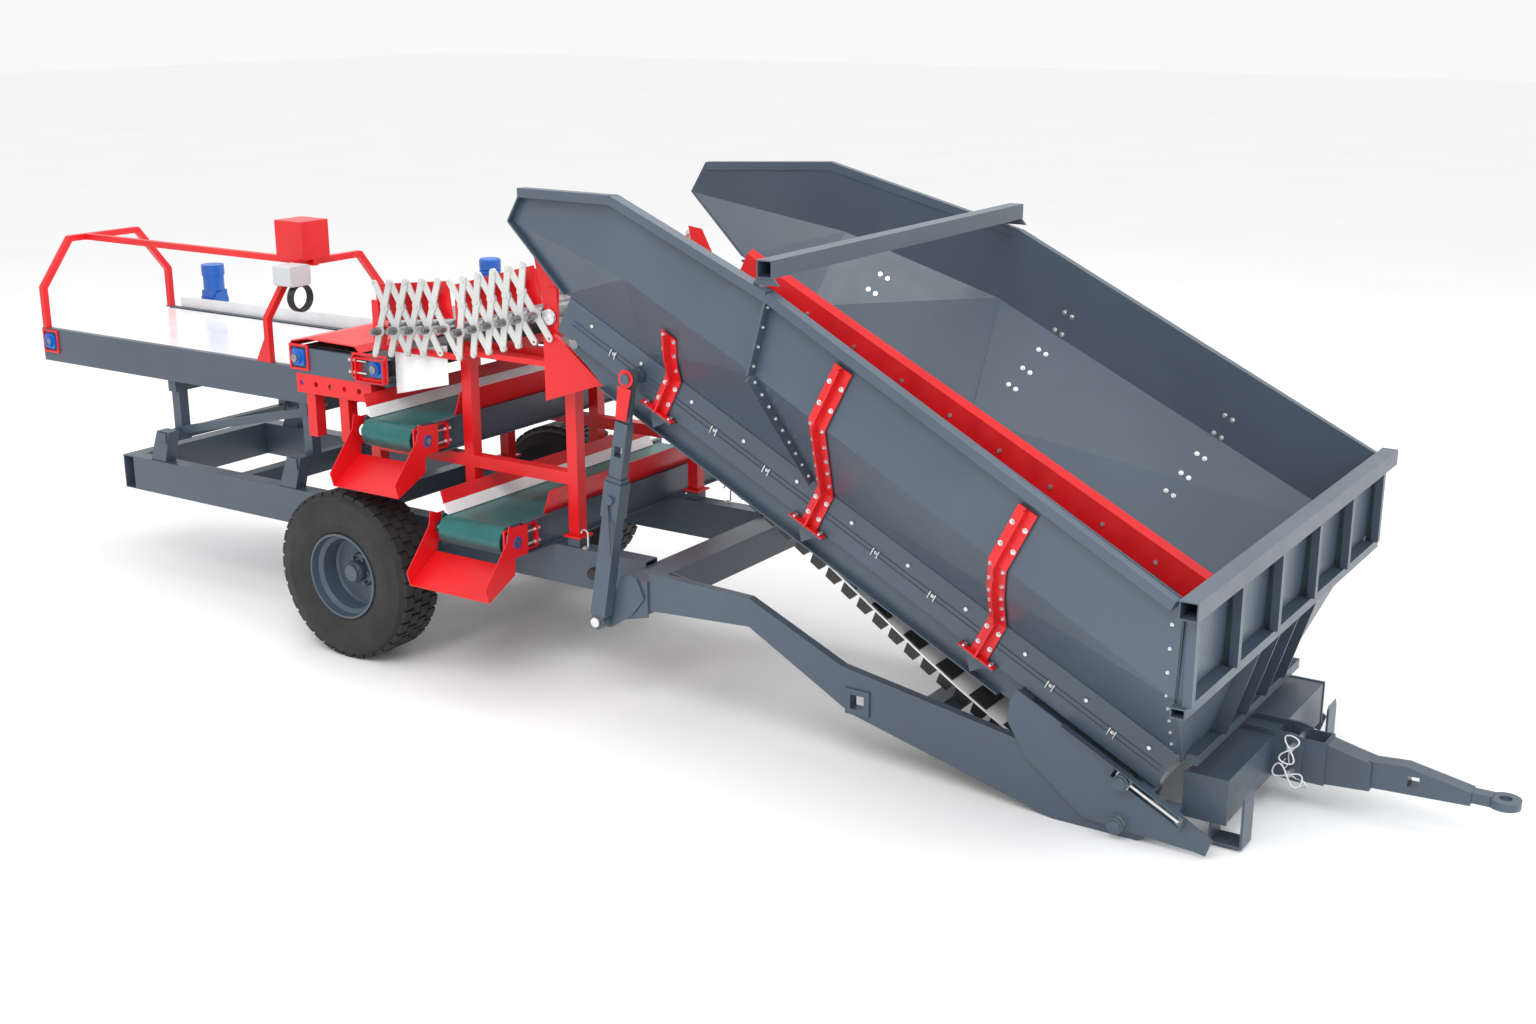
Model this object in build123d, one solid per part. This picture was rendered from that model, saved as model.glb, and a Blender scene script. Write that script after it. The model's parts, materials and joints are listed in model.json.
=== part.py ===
from build123d import *
import math
import os

os.makedirs("parts", exist_ok=True)

# Trailed receiving hopper with a flighted elevator, a lazy-tong roller grader,
# an inspection table and two cross conveyors. Millimetres. +X points forward to
# the tow eye, +Y to the machine's left, +Z up. Heights are counted from the
# ground and lengths from the wheel axle; the whole machine is then shifted so
# that the origin is the centre of the tow eye.

# ---- driving dimensions ----
TYRE_RADIUS = 422.5
TYRE_WIDTH = 290.0
RIM_RADIUS = 212.0
WHEEL_Y = 825.0
AXLE_SIZE = 80.0
CLEAR = 0.5                      # gap between bodies that move past each other
RUN_FIT = 0.05                   # radial clearance of a shaft in its hole
WALL = 6.0                       # wall of the heavy tubes

EYE_X = 5260.0
EYE_Z = 190.0
EYE_HOLE_R = 25.0
EYE_RING_R = 60.0
EYE_THICK = 34.0

CHASSIS_REAR_X = -2040.0
CHASSIS_FRONT_X = 1550.0
CHASSIS_Y = 530.0                # outer face of a longitudinal
CHASSIS_W = 90.0
CHASSIS_Z0 = 465.0
CHASSIS_Z1 = 655.0

KNUCKLE_Y = 716.0                # end of the front cross tube
BEAM_Y0 = 668.0                  # inner face of a front side beam
BEAM_Y1 = 712.0                  # outer face of a front side beam
LUG_Y0 = 724.0
LUG_Y1 = 736.0

TILT_X = 3981.0                  # tail pivot on which the receiving unit tilts
TILT_Z = 62.0
TILT_PIN_R = 20.0

SLOPE = math.radians(27.2)       # incline of the elevator
GAP_X = 4148.0                   # lower end of the line where the hopper's
GAP_Z = 218.0                    # channel meets the elevator's side plate
ELEV_LENGTH = 3240.0
ELEV_Y0 = 640.0                  # inner face of the elevator side plates
ELEV_Y1 = 648.0
ELEV_DRUM_R = 100.0
ELEV_BELT_W = 1180.0
ELEV_BELT_T = 8.0
TAIL_S = 150.0
HEAD_S = 3200.0
TAIL_N = -40.0                   # tail drum axis, square to the gap line
HEAD_N = -10.0
FLIGHT_H = 48.0                  # height of the rubber flights on the belt
FLIGHT_PITCH = 93.0
FLIGHT_W = 78.0
EDGE_W = 50.0                    # width of the rubber blocks along the belt's edges
RETURN_SAG = 430.0               # how far the belt's lower run hangs
RETURN_SLACK_S = 2250.0          # the sag ends here
RETURN_TAUT_S = 2700.0
RETURN_LOW = ((569.0, -280.0), (430.0, -252.0), (290.0, -203.0))  # lowest part, as s and n

CHANNEL_N = 176.0                # height of the hopper's lower channel
HOPPER_FOOT_Y = 700.0

STRUT_Y0 = 742.0
STRUT_Y1 = 802.0
STRUT_FOOT_X = 1470.0
STRUT_FOOT_Z = 430.0
STRUT_TOP_X = 1667.0
STRUT_TOP_Z = 1578.0
STRUT_PIN_R = 16.0
STRUT_PLAY = 2.5                 # clearance at the strut's top pin

TABLE_X0 = -2840.0
TABLE_X1 = -560.0
TABLE_Y = 460.0
TABLE_Z0 = 1110.0
TABLE_Z1 = 1300.0
TABLE_DRUM_R = 60.0

TRANSFER_X0 = -516.0
TRANSFER_X1 = 25.0
TRANSFER_Z = 1410.0
TRANSFER_Y = 640.0
TRANSFER_DRUM_R = 50.0

CROSS_DRUM_R = 62.0
LINK_C = 125.7                   # pivot spacing along a lazy-tong link
LINK_T = 8.0
LINK_Y = 634.0                   # inner face of the inner link layer
ROLLER_R = 33.0
SHAFT_R = 12.0
ROLLER_HALF = 560.0
SHAFT_HALF = 706.0

DRUM_SHAFT_R = 20.0
KNUCKLE_PLATE = [
    (CHASSIS_FRONT_X - 10, 520),
    (CHASSIS_FRONT_X - 10, 600),
    (CHASSIS_FRONT_X + 40, 640),
    (CHASSIS_FRONT_X + 152, 640),
    (CHASSIS_FRONT_X + 152, 470),
    (CHASSIS_FRONT_X + 30, 440),
]
LUG_PLATE = [
    (STRUT_FOOT_X - 40, STRUT_FOOT_Z - 10),
    (STRUT_FOOT_X - 20, STRUT_FOOT_Z - 42),
    (STRUT_FOOT_X + 30, STRUT_FOOT_Z - 42),
    (CHASSIS_FRONT_X + 70, 470),
    (CHASSIS_FRONT_X + 140, 560),
    (CHASSIS_FRONT_X + 100, 650),
    (CHASSIS_FRONT_X + 60, 660),
    (CHASSIS_FRONT_X + 20, 640),
]
TABLE_LEGS = (-1790.0, -760.0)
GRADER_POSTS = (-150.0, 480.0, 1120.0)
POST_FOOT_Z = 700.0
BEAM_TOP = [(1702, 678), (2240, 660), (2712, 445), (3614, 292), (3900, 150), (4202, 150)]
BEAM_LOW = [(4202, 112), (4060, 0), (3700, 0), (2760, 240), (2240, 530), (1702, 500)]
NOSE_X0 = 4200.0
NOSE_X1 = 4370.0
NOSE_HALF = 612.0
HITCH_X = 4452.0                 # drawbar pin line
HITCH_TOP_Z = 262.0
HITCH_LOW_Z = 152.0
HITCH_PIN_R = 15.0
CHEEK_Y0 = 62.0
CHEEK_Y1 = 74.0
TAIL_Y0 = 724.0
TAIL_Y1 = 734.0
BRACKET_S = (900.0, 1804.0, 2665.0)     # red bracket stations along the incline
STRUT_LUG = [
    (STRUT_TOP_X - 60, STRUT_TOP_Z - 90), (STRUT_TOP_X - 44, STRUT_TOP_Z - 10),
    (STRUT_TOP_X - 10, STRUT_TOP_Z + 12), (STRUT_TOP_X + 44, STRUT_TOP_Z - 14),
    (STRUT_TOP_X + 130, STRUT_TOP_Z - 180),
]
CHANNEL_Y0 = 654.0
FOOT_S = (30.0, 1875.0, 2860.0, 3330.0)
RIM = [(4355, 1190, 1190), (2600, 1077, 2080), (1680, 850, 2370), (1050, 695, 2350)]
FOLD = [(4341, 1183, 815), (2510, 1077, 1745), (1750, 900, 2030), (960, 694, 2200)]
FRONT_TOP = (4355, 1190, 1190)
FRONT_FOLD = (4341, 1183, 815)
NECK_Y = 640.0
NECK_Z = 334.0
BRACKET_OFF = 14.0               # stand-off of a bracket from the wall's line
BRACKET_TOP = 876.0              # height of the long brackets over the gap line
BRACKET_SHORT = 430.0
STRUT_SLEEVE_T = 700.0
STRUT_INNER_T = 430.0
TABLE_DRUM_X = (TABLE_X0 + 78, TABLE_X1 - 90)
TABLE_DRUM_Z = TABLE_Z1 - TABLE_DRUM_R - 12
TABLE_BELT_HALF = 415.0
HOOP_X = (-2812.0, -956.0)
HOOP_TUBE = 34.0
HOOP = [(-443, TABLE_Z1), (-443, 1530), (-238, 1790), (238, 1790), (443, 1530), (443, TABLE_Z1)]
RAIL_Y = -120.0
CABINET_X = -1110.0
CABINET_LENGTH = 200.0
JUNCTION_Y = -330.0
TRANSFER_END = 62.0
TRANSFER_Z0 = 1326.0
TRANSFER_Z1 = 1458.0
CROSS = {
    "upper": {"x0": 60.0, "x1": 375.0, "top": 1190.0, "near": 745.0, "far": 760.0},
    "lower": {"x0": 600.0, "x1": 975.0, "top": 803.0, "near": 815.0, "far": 860.0},
}
CROSS_GAP = 16.0                 # belt edge to channel
CROSS_WEB = 5.0
CROSS_SHAFT_R = 15.0
CHUTE_REACH = 236.0              # lip of a chute beyond the near drum's axis
GROUPS = {
    "left": {"x": 59.0, "z": 1601.0, "pitch": 106.0, "angle": 6.7, "count": 5},
    "right": {"x": 581.0, "z": 1648.0, "pitch": 94.5, "angle": 15.0, "count": 6},
}
LINK_INNER = (LINK_Y, LINK_Y + LINK_T)
LINK_OUTER = (LINK_Y + LINK_T + 0.4, LINK_Y + 2 * LINK_T + 0.4)
PIN_R = 7.0
PIN_FIT = 0.1


# ---- helpers ----
def box(x0, x1, y0, y1, z0, z1):
    """A block between two corners."""
    size = (abs(x1 - x0), abs(y1 - y0), abs(z1 - z0))
    centre = ((x0 + x1) / 2, (y0 + y1) / 2, (z0 + z1) / 2)
    return Pos(*centre) * Box(*size)


def cyl_y(x, z, r, y0, y1):
    """A cylinder along Y."""
    middle = Pos(x, (y0 + y1) / 2, z)
    return middle * Rot(90, 0, 0) * Cylinder(r, abs(y1 - y0))


def cyl_x(y, z, r, x0, x1):
    """A cylinder along X."""
    return Pos((x0 + x1) / 2, y, z) * Rot(0, 90, 0) * Cylinder(r, abs(x1 - x0))


def cyl_z(x, y, r, z0, z1):
    """A cylinder along Z."""
    return Pos(x, y, (z0 + z1) / 2) * Cylinder(r, abs(z1 - z0))


def plate_xz(points, y0, y1):
    """A flat plate with an outline in X and Z, between two Y planes."""
    low = min(y0, y1)
    wire = Polyline(*[(x, low, z) for x, z in points], close=True)
    return extrude(make_face(wire), amount=abs(y1 - y0), dir=(0, 1, 0))


def plate_yz(points, x0, x1):
    """A flat plate with an outline in Y and Z, between two X planes."""
    low = min(x0, x1)
    wire = Polyline(*[(low, y, z) for y, z in points], close=True)
    return extrude(make_face(wire), amount=abs(x1 - x0), dir=(1, 0, 0))


def bar(start, end, width, height, wall=0.0, up=(0, 0, 1)):
    """A straight rectangular bar or tube from start to end; height lies along up."""
    a, b = Vector(*start), Vector(*end)
    along = (b - a).normalized()
    if abs(along.dot(Vector(*up))) > 0.999:
        up = (1, 0, 0)
    side = Vector(*up).cross(along).normalized()
    plane = Plane(origin=a, x_dir=side, z_dir=along)
    length = (b - a).length
    solid = plane * (Pos(0, 0, length / 2) * Box(width, height, length))
    if wall:
        inner = Box(width - 2 * wall, height - 2 * wall, length + 2)
        solid -= plane * (Pos(0, 0, length / 2) * inner)
    return solid


def rod(start, end, radius):
    """A round bar from start to end."""
    a, b = Vector(*start), Vector(*end)
    plane = Plane(origin=a, z_dir=(b - a).normalized())
    length = (b - a).length
    return plane * (Pos(0, 0, length / 2) * Cylinder(radius, length))


def join(pieces):
    """Pieces welded or cast into one."""
    total = pieces[0]
    if len(pieces) > 1:
        total = total + pieces[1:]
    return total


def slope(s, n):
    """Elevator coordinates, along and square to the incline, as X and Z."""
    x = GAP_X - s * math.cos(SLOPE) + n * math.sin(SLOPE)
    z = GAP_Z + s * math.sin(SLOPE) + n * math.cos(SLOPE)
    return (x, z)


def slope_prism(profile, s0, s1):
    """A profile in Y and n, drawn along the incline from s0 to s1."""
    corners = []
    for y, n in profile:
        x, z = slope(s0, n)
        corners.append((x, y, z))
    face = make_face(Polyline(*corners, close=True))
    return extrude(face, amount=s1 - s0, dir=(-math.cos(SLOPE), 0, math.sin(SLOPE)))


def shell_strip(rows, offset):
    """A sheet through rows of points, thickened by one offset vector."""
    shift = Vector(*offset)
    front = [[Vector(*p) for p in row] for row in rows]
    back = [[p + shift for p in row] for row in front]
    high, wide = len(rows) - 1, len(rows[0]) - 1
    faces = []

    def quad(a, b, c, d):
        for corners in ((a, b, c), (a, c, d)):
            faces.append(make_face(Polyline(*corners, close=True)).face())

    for i in range(high):
        for j in range(wide):
            quad(front[i][j], front[i][j + 1], front[i + 1][j + 1], front[i + 1][j])
            quad(back[i][j], back[i][j + 1], back[i + 1][j + 1], back[i + 1][j])
    for j in range(wide):
        for i in (0, high):
            quad(front[i][j], front[i][j + 1], back[i][j + 1], back[i][j])
    for i in range(high):
        for j in (0, wide):
            quad(front[i][j], front[i + 1][j], back[i + 1][j], back[i][j])
    solid = Solid(Shell(faces))
    return solid if solid.volume > 0 else -solid


def belt_loop(p, q, r, thick, y0, y1):
    """A closed belt round two equal drums with centres p and q, in X and Z."""
    a, b = Vector(p[0], 0, p[1]), Vector(q[0], 0, q[1])
    along = (b - a).normalized()
    normal = Vector(-along.Z, 0, along.X)

    def stadium(radius, low, high):
        body = plate_xz(
            [
                ((a + normal * radius).X, (a + normal * radius).Z),
                ((b + normal * radius).X, (b + normal * radius).Z),
                ((b - normal * radius).X, (b - normal * radius).Z),
                ((a - normal * radius).X, (a - normal * radius).Z),
            ],
            low,
            high,
        )
        return body + [cyl_y(a.X, a.Z, radius, low, high), cyl_y(b.X, b.Z, radius, low, high)]

    return stadium(r + thick, y0, y1) - stadium(r, y0 - 1, y1 + 1)


def drum_shell(x, z, r, y0, y1, shaft_r, wall=5.0):
    """A tube with two pierced end discs and room for its shaft."""
    shell = cyl_y(x, z, r, y0, y1) - cyl_y(x, z, r - wall, y0 - 1, y1 + 1)
    middle = (r - wall + shaft_r) / 2
    hole = (r - wall - shaft_r) / 2 - 4
    for low in (y0, y1 - wall):
        disc = cyl_y(x, z, r - wall, low, low + wall)
        for sign in (-1, 1):
            disc -= cyl_y(x, z + sign * middle, hole, low - 1, low + wall + 1)
        shell += disc
    return shell


def drum_y(x, z, r, half, shaft_half, shaft_r=DRUM_SHAFT_R):
    """A hollow drum along Y on its through shaft."""
    shell = drum_shell(x, z, r, -half, half, shaft_r)
    return shell + cyl_y(x, z, shaft_r, -shaft_half, shaft_half)


NODES = {}


def node(name, pieces):
    """Keeps a sub-part: one piece, or a list of separate solids."""
    NODES[name] = pieces if isinstance(pieces, list) else [pieces]


# ---- wheels and axle ----
def tyre(side):
    """A tyre with rounded shoulders and block treads."""
    half = TYRE_WIDTH / 2
    outline = Polyline(
        (RIM_RADIUS + 4, -half + 34),
        (RIM_RADIUS + 60, -half + 6),
        (TYRE_RADIUS - 90, -half),
        (TYRE_RADIUS - 32, -half + 16),
        (TYRE_RADIUS - 10, -half + 48),
        (TYRE_RADIUS - 10, half - 48),
        (TYRE_RADIUS - 32, half - 16),
        (TYRE_RADIUS - 90, half),
        (RIM_RADIUS + 60, half - 6),
        (RIM_RADIUS + 4, half - 34),
        close=True,
    )
    ring = revolve(make_face(outline), axis=Axis.Y)
    lugs = []
    count = 36
    for k in range(count):
        angle = 360 / count * k
        for row, offset in ((-84, 0.0), (-28, 5.0), (28, 0.0), (84, 5.0)):
            lug = Pos(TYRE_RADIUS - 11, row, 0) * Box(22, 50, 58)
            lugs.append(Rot(0, angle + offset, 0) * lug)
    limit = Rot(90, 0, 0) * Cylinder(TYRE_RADIUS, TYRE_WIDTH + 20)
    tread = (lugs[0] + lugs[1:]) & limit
    body = ring + tread
    bore = Rot(90, 0, 0) * Cylinder(RIM_RADIUS + 4, TYRE_WIDTH + 20)
    cavity = Polyline(
        (RIM_RADIUS, -half + 58),
        (RIM_RADIUS + 64, -half + 24),
        (TYRE_RADIUS - 90, -half + 18),
        (TYRE_RADIUS - 46, -half + 40),
        (TYRE_RADIUS - 34, 0),
        (TYRE_RADIUS - 46, half - 40),
        (TYRE_RADIUS - 90, half - 18),
        (RIM_RADIUS + 64, half - 24),
        (RIM_RADIUS, half - 58),
        close=True,
    )
    air = revolve(make_face(cavity), axis=Axis.Y)
    return Pos(0, side * WHEEL_Y, TYRE_RADIUS) * (body - bore - air)


def rim(side):
    """A deep-dish steel rim with its hub, cap and wheel nuts."""
    r, half = RIM_RADIUS, TYRE_WIDTH / 2
    outline = Polyline(
        (r + 3, -half + 32),
        (r + 3, -half + 24),
        (r - 8, -half + 24),
        (r - 14, -half + 60),
        (r - 34, -half + 76),
        (r - 40, 10),
        (r - 50, 18),
        (86, 30),
        (80, 8),
        (52, 4),
        (52, -34),
        (44, -48),
        (28.1 + RUN_FIT, -48),
        (28.1 + RUN_FIT, 84),
        (60, 84),
        (60, 46),
        (r - 34, 32),
        (r - 20, 22),
        (r - 14, half - 60),
        (r - 6, half - 24),
        (r + 3, half - 24),
        (r + 3, half - 32),
        (r + 1, half - 34),
        (r + 1, -half + 34),
        close=True,
    )
    body = revolve(make_face(outline), axis=Axis.Y)
    cap = Pos(0, -54, 0) * Rot(90, 0, 0) * Cylinder(40, 12)
    nuts = []
    for k in range(6):
        nut = Pos(68, 0, 0) * Rot(90, 0, 0) * Cylinder(9, 26)
        nuts.append(Rot(0, 60 * k, 0) * nut)
    whole = body + [cap] + nuts
    if side > 0:
        whole = mirror(whole, about=Plane.XZ)
    return Pos(0, side * WHEEL_Y, TYRE_RADIUS) * whole


def axle_beam():
    """The square axle under the chassis, its stubs and its clamp pads."""
    z = TYRE_RADIUS
    half = AXLE_SIZE / 2
    inner = WHEEL_Y - TYRE_WIDTH / 2 - 12
    beam = box(-half, half, -inner, inner, z - half, z + half)
    stub = cyl_y(0, z, 28.1, -WHEEL_Y - 46, WHEEL_Y + 46)
    collar = cyl_y(0, z, 52, -WHEEL_Y + 86, WHEEL_Y - 86)
    return beam + [stub, collar]


for side, name in ((-1, "right"), (1, "left")):
    node("tyre_" + name, tyre(side))
    node("wheel_rim_" + name, rim(side))


# ---- chassis ----
def chassis_frame():
    """Two longitudinals with cross tubes, table legs and conveyor posts."""
    z0, z1 = CHASSIS_Z0, CHASSIS_Z1
    mid_z = (z0 + z1) / 2
    y0 = CHASSIS_Y - CHASSIS_W
    mid_y = (y0 + CHASSIS_Y) / 2
    height = z1 - z0
    pieces = []
    for side in (-1, 1):
        start = (CHASSIS_REAR_X, side * mid_y, mid_z)
        end = (CHASSIS_FRONT_X, side * mid_y, mid_z)
        pieces.append(bar(start, end, CHASSIS_W, height, WALL))
    rear = CHASSIS_REAR_X - 45
    pieces.append(bar((rear, -CHASSIS_Y, mid_z), (rear, CHASSIS_Y, mid_z), 90, height, WALL))
    for x in (-1260, -420, 380):
        pieces.append(bar((x, -y0 - 1, 590), (x, y0 + 1, 590), 80, 100, WALL))
    # front cross tube with closed ends
    cross_x = CHASSIS_FRONT_X + 76
    ends = ((cross_x, -KNUCKLE_Y, 560), (cross_x, KNUCKLE_Y, 560))
    pieces.append(bar(*ends, 152, 150, WALL))
    for side in (-1, 1):
        y = side * KNUCKLE_Y
        pieces.append(plate_xz(KNUCKLE_PLATE, y, y + side * 8))
        # foot lug of the lifting strut, outside the knuckle
        lug = plate_xz(LUG_PLATE, side * LUG_Y0, side * LUG_Y1)
        lug -= cyl_y(STRUT_FOOT_X, STRUT_FOOT_Z, STRUT_PIN_R, side * 700, side * 760)
        pieces.append(lug)
    # table legs: a low gusset foot on each longitudinal and a post up to a cross tube
    for x in TABLE_LEGS:
        for side in (-1, 1):
            y = side * mid_y
            foot = [(x - 110, z1), (x + 10, z1), (x + 60, z1 + 175), (x - 40, z1 + 175)]
            pieces.append(plate_xz(foot, y - 36, y + 36))
            post = ((x + 8, side * 380, z1 + 130), (x + 8, side * 380, TABLE_Z0 - 62))
            pieces.append(bar(*post, 60, 60))
            link = ((x + 8, side * 350, z1 + 140), (x + 8, y + side * 44, z1 + 140))
            pieces.append(bar(*link, 60, 60))
        ends = ((x + 8, -430, TABLE_Z0 - 40), (x + 8, 430, TABLE_Z0 - 40))
        pieces.append(bar(*ends, 60, 60))
        ends = ((x + 8, -352, z1 + 140), (x + 8, 352, z1 + 140))
        pieces.append(bar(*ends, 50, 50))
    # diagonal braces between the legs
    for side in (-1, 1):
        y = side * 395
        start = (TABLE_LEGS[0] + 8, y, z1 + 160)
        end = (TABLE_LEGS[1] + 8, y, TABLE_Z0 - 60)
        pieces.append(bar(start, end, 30, 44))
    # posts for the cross conveyors and the grader
    for x in GRADER_POSTS:
        for side in (-1, 1):
            post = ((x, side * mid_y, z1 - 10), (x, side * mid_y, POST_FOOT_Z))
            pieces.append(bar(*post, 70, 70))
    # axle pads between the axle and the longitudinals
    for side in (-1, 1):
        y = side * mid_y
        pieces.append(box(-70, 70, y - 40, y + 40, TYRE_RADIUS + 30, z0 + 2))
    pieces.append(axle_beam())
    return join(pieces)


node("chassis_frame", chassis_frame())


# ---- front frame and drawbar ----


def front_frame():
    """Bent side beams, the nose crossmember with its hooks, and hitch cheeks."""
    pieces = []
    for side in (-1, 1):
        beam = plate_xz(BEAM_TOP + BEAM_LOW, side * BEAM_Y0, side * BEAM_Y1)
        socket = box(2760, 2826, side * 600, side * 760, 268, 332)
        collar = box(2735, 2851, side * BEAM_Y1, side * (BEAM_Y1 + 10), 243, 357)
        beam = (beam + collar) - socket
        beam -= cyl_y(TILT_X, TILT_Z, TILT_PIN_R, side * 600, side * 800)
        pieces.append(beam)
        brace = ((1712, side * 560, 600), (2200, side * 690, 590))
        pieces.append(bar(*brace, 14, 90))
    tube = ((3060, -BEAM_Y0, 262), (3060, BEAM_Y0, 262))
    pieces.append(bar(*tube, 90, 90, WALL))
    nose_z = 200.0
    nose_x = (NOSE_X0 + NOSE_X1) / 2
    nose = ((nose_x, -NOSE_HALF, nose_z), (nose_x, NOSE_HALF, nose_z))
    pieces.append(bar(*nose, NOSE_X1 - NOSE_X0, 180, WALL))
    for side in (-1, 1):
        # closed end of the nose and the arm that joins it to the side beam
        inner, outer = side * (NOSE_HALF - 8), side * (NOSE_HALF + 4)
        pieces.append(box(NOSE_X0 - 4, NOSE_X1 + 4, inner, outer, 106, 294))
        pieces.append(box(4128, NOSE_X0 + 4, side * 602, side * (BEAM_Y0 + 4), 114, 150))
        # open U hook in front of the nose
        for x, top in ((NOSE_X1 - 68, 112), (NOSE_X1 + 56, 236)):
            hook = [(x, 12), (x + 10, 12), (x + 10, top - 30), (x + 4, top), (x, top - 24)]
            pieces.append(plate_xz(hook, side * 484, side * 596))
        pieces.append(box(NOSE_X1 - 68, NOSE_X1 + 66, side * 484, side * 596, 12, 22))
    for side in (-1, 1):
        cheek = [
            (NOSE_X1 - 6, 118), (HITCH_X + 40, 108), (HITCH_X + 40, 300),
            (HITCH_X - 10, 312), (NOSE_X1 - 120, 312), (NOSE_X1 - 150, 288),
            (NOSE_X1 - 6, 286),
        ]
        ear = plate_xz(cheek, side * CHEEK_Y0, side * CHEEK_Y1)
        for z in (HITCH_TOP_Z, HITCH_LOW_Z):
            ear -= cyl_y(HITCH_X, z, HITCH_PIN_R, side * 50, side * 90)
        pieces.append(ear)
    return join(pieces)


def drawbar():
    """The pivot block, the tapered bar with a cross socket, and the tow eye."""
    x0 = HITCH_X - 36
    root = box(x0, HITCH_X + 130, -CHEEK_Y0 + CLEAR, CHEEK_Y0 - CLEAR, 112, 296)
    inside = box(x0 - 1, HITCH_X + 118, -CHEEK_Y0 + 8, CHEEK_Y0 - 8, 104, 300)
    sleeve = plate_xz(
        [(HITCH_X + 118, 116), (4760, 130), (4760, 246), (4684, 262), (HITCH_X + 118, 290)],
        -52,
        52,
    )
    arm = plate_xz([(4740, 140), (5140, 158), (5140, 214), (4890, 262), (4740, 250)], -38, 38)
    neck = plate_yz([(-30, 168), (30, 168), (30, 212), (-30, 212)], 5120, 5215)
    ring = cyl_z(EYE_X, 0, EYE_RING_R, EYE_Z - EYE_THICK / 2, EYE_Z + EYE_THICK / 2)
    bar_part = (root - inside) + [sleeve, arm, neck, ring]
    bar_part -= cyl_z(EYE_X, 0, EYE_HOLE_R, EYE_Z - 40, EYE_Z + 40)
    bar_part -= box(4900, 4944, -60, 60, 180, 226)
    for z in (HITCH_TOP_Z, HITCH_LOW_Z):
        hole = HITCH_PIN_R + RUN_FIT
        bar_part -= cyl_y(HITCH_X, z, hole, -90, 90)
    return bar_part


def wire_clip(x, z, side, tilt):
    """A bent wire clip hanging from the end of a hitch pin."""
    y = side * (CHEEK_Y1 + 30)
    points = [
        (0, 0, 6), (0, 0, -34), (12, side * 4, -62), (4, side * 10, -92),
        (-14, side * 8, -74), (-6, side * 4, -48),
    ]
    corners = [Vector(*p) for p in points]
    path = FilletPolyline(*corners, radius=5)
    section = Plane(origin=corners[0], z_dir=(corners[1] - corners[0]).normalized()) * Circle(2.6)
    wire = sweep(section, path=path)
    return Pos(x, y, z) * Rot(0, tilt, 0) * wire


def frame_pins():
    """Hitch pins with wire clips, the strut foot pins and the tilt pins."""
    pieces = []
    for z, tilt in ((HITCH_TOP_Z, 12), (HITCH_LOW_Z, -64)):
        pin = cyl_y(HITCH_X, z, HITCH_PIN_R, -CHEEK_Y1 - 42, CHEEK_Y1 + 14)
        head = cyl_y(HITCH_X, z, HITCH_PIN_R + 7, CHEEK_Y1 + 0.2, CHEEK_Y1 + 14)
        pieces.append(pin + head + wire_clip(HITCH_X, z, -1, tilt))
    for side in (-1, 1):
        shaft = cyl_y(STRUT_FOOT_X, STRUT_FOOT_Z, STRUT_PIN_R, side * LUG_Y0, side * (STRUT_Y1 + 14))
        head = cyl_y(STRUT_FOOT_X, STRUT_FOOT_Z, 23, side * (STRUT_Y1 + 2), side * (STRUT_Y1 + 14))
        pieces.append(shaft + head)
        shaft = cyl_y(TILT_X, TILT_Z, TILT_PIN_R, side * BEAM_Y0, side * (TAIL_Y1 + 22))
        head = cyl_y(TILT_X, TILT_Z, 34, side * (TAIL_Y1 + 2), side * (TAIL_Y1 + 14))
        pieces.append(shaft + head)
    return pieces


node("front_frame", front_frame())
node("drawbar", drawbar())
node("frame_pins", frame_pins())


# ---- elevator ----
TAIL_PLATE = [
    slope(690, -70), slope(660, -150), slope(520, -232), slope(200, -292),
    (4290, 26), slope(-262, -90), slope(-250, -16), slope(0, -8), slope(690, -8),
]


def axis_n(s):
    """Height of the belt's centre line above the gap line."""
    return TAIL_N + (HEAD_N - TAIL_N) * (s - TAIL_S) / (HEAD_S - TAIL_S)


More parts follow.
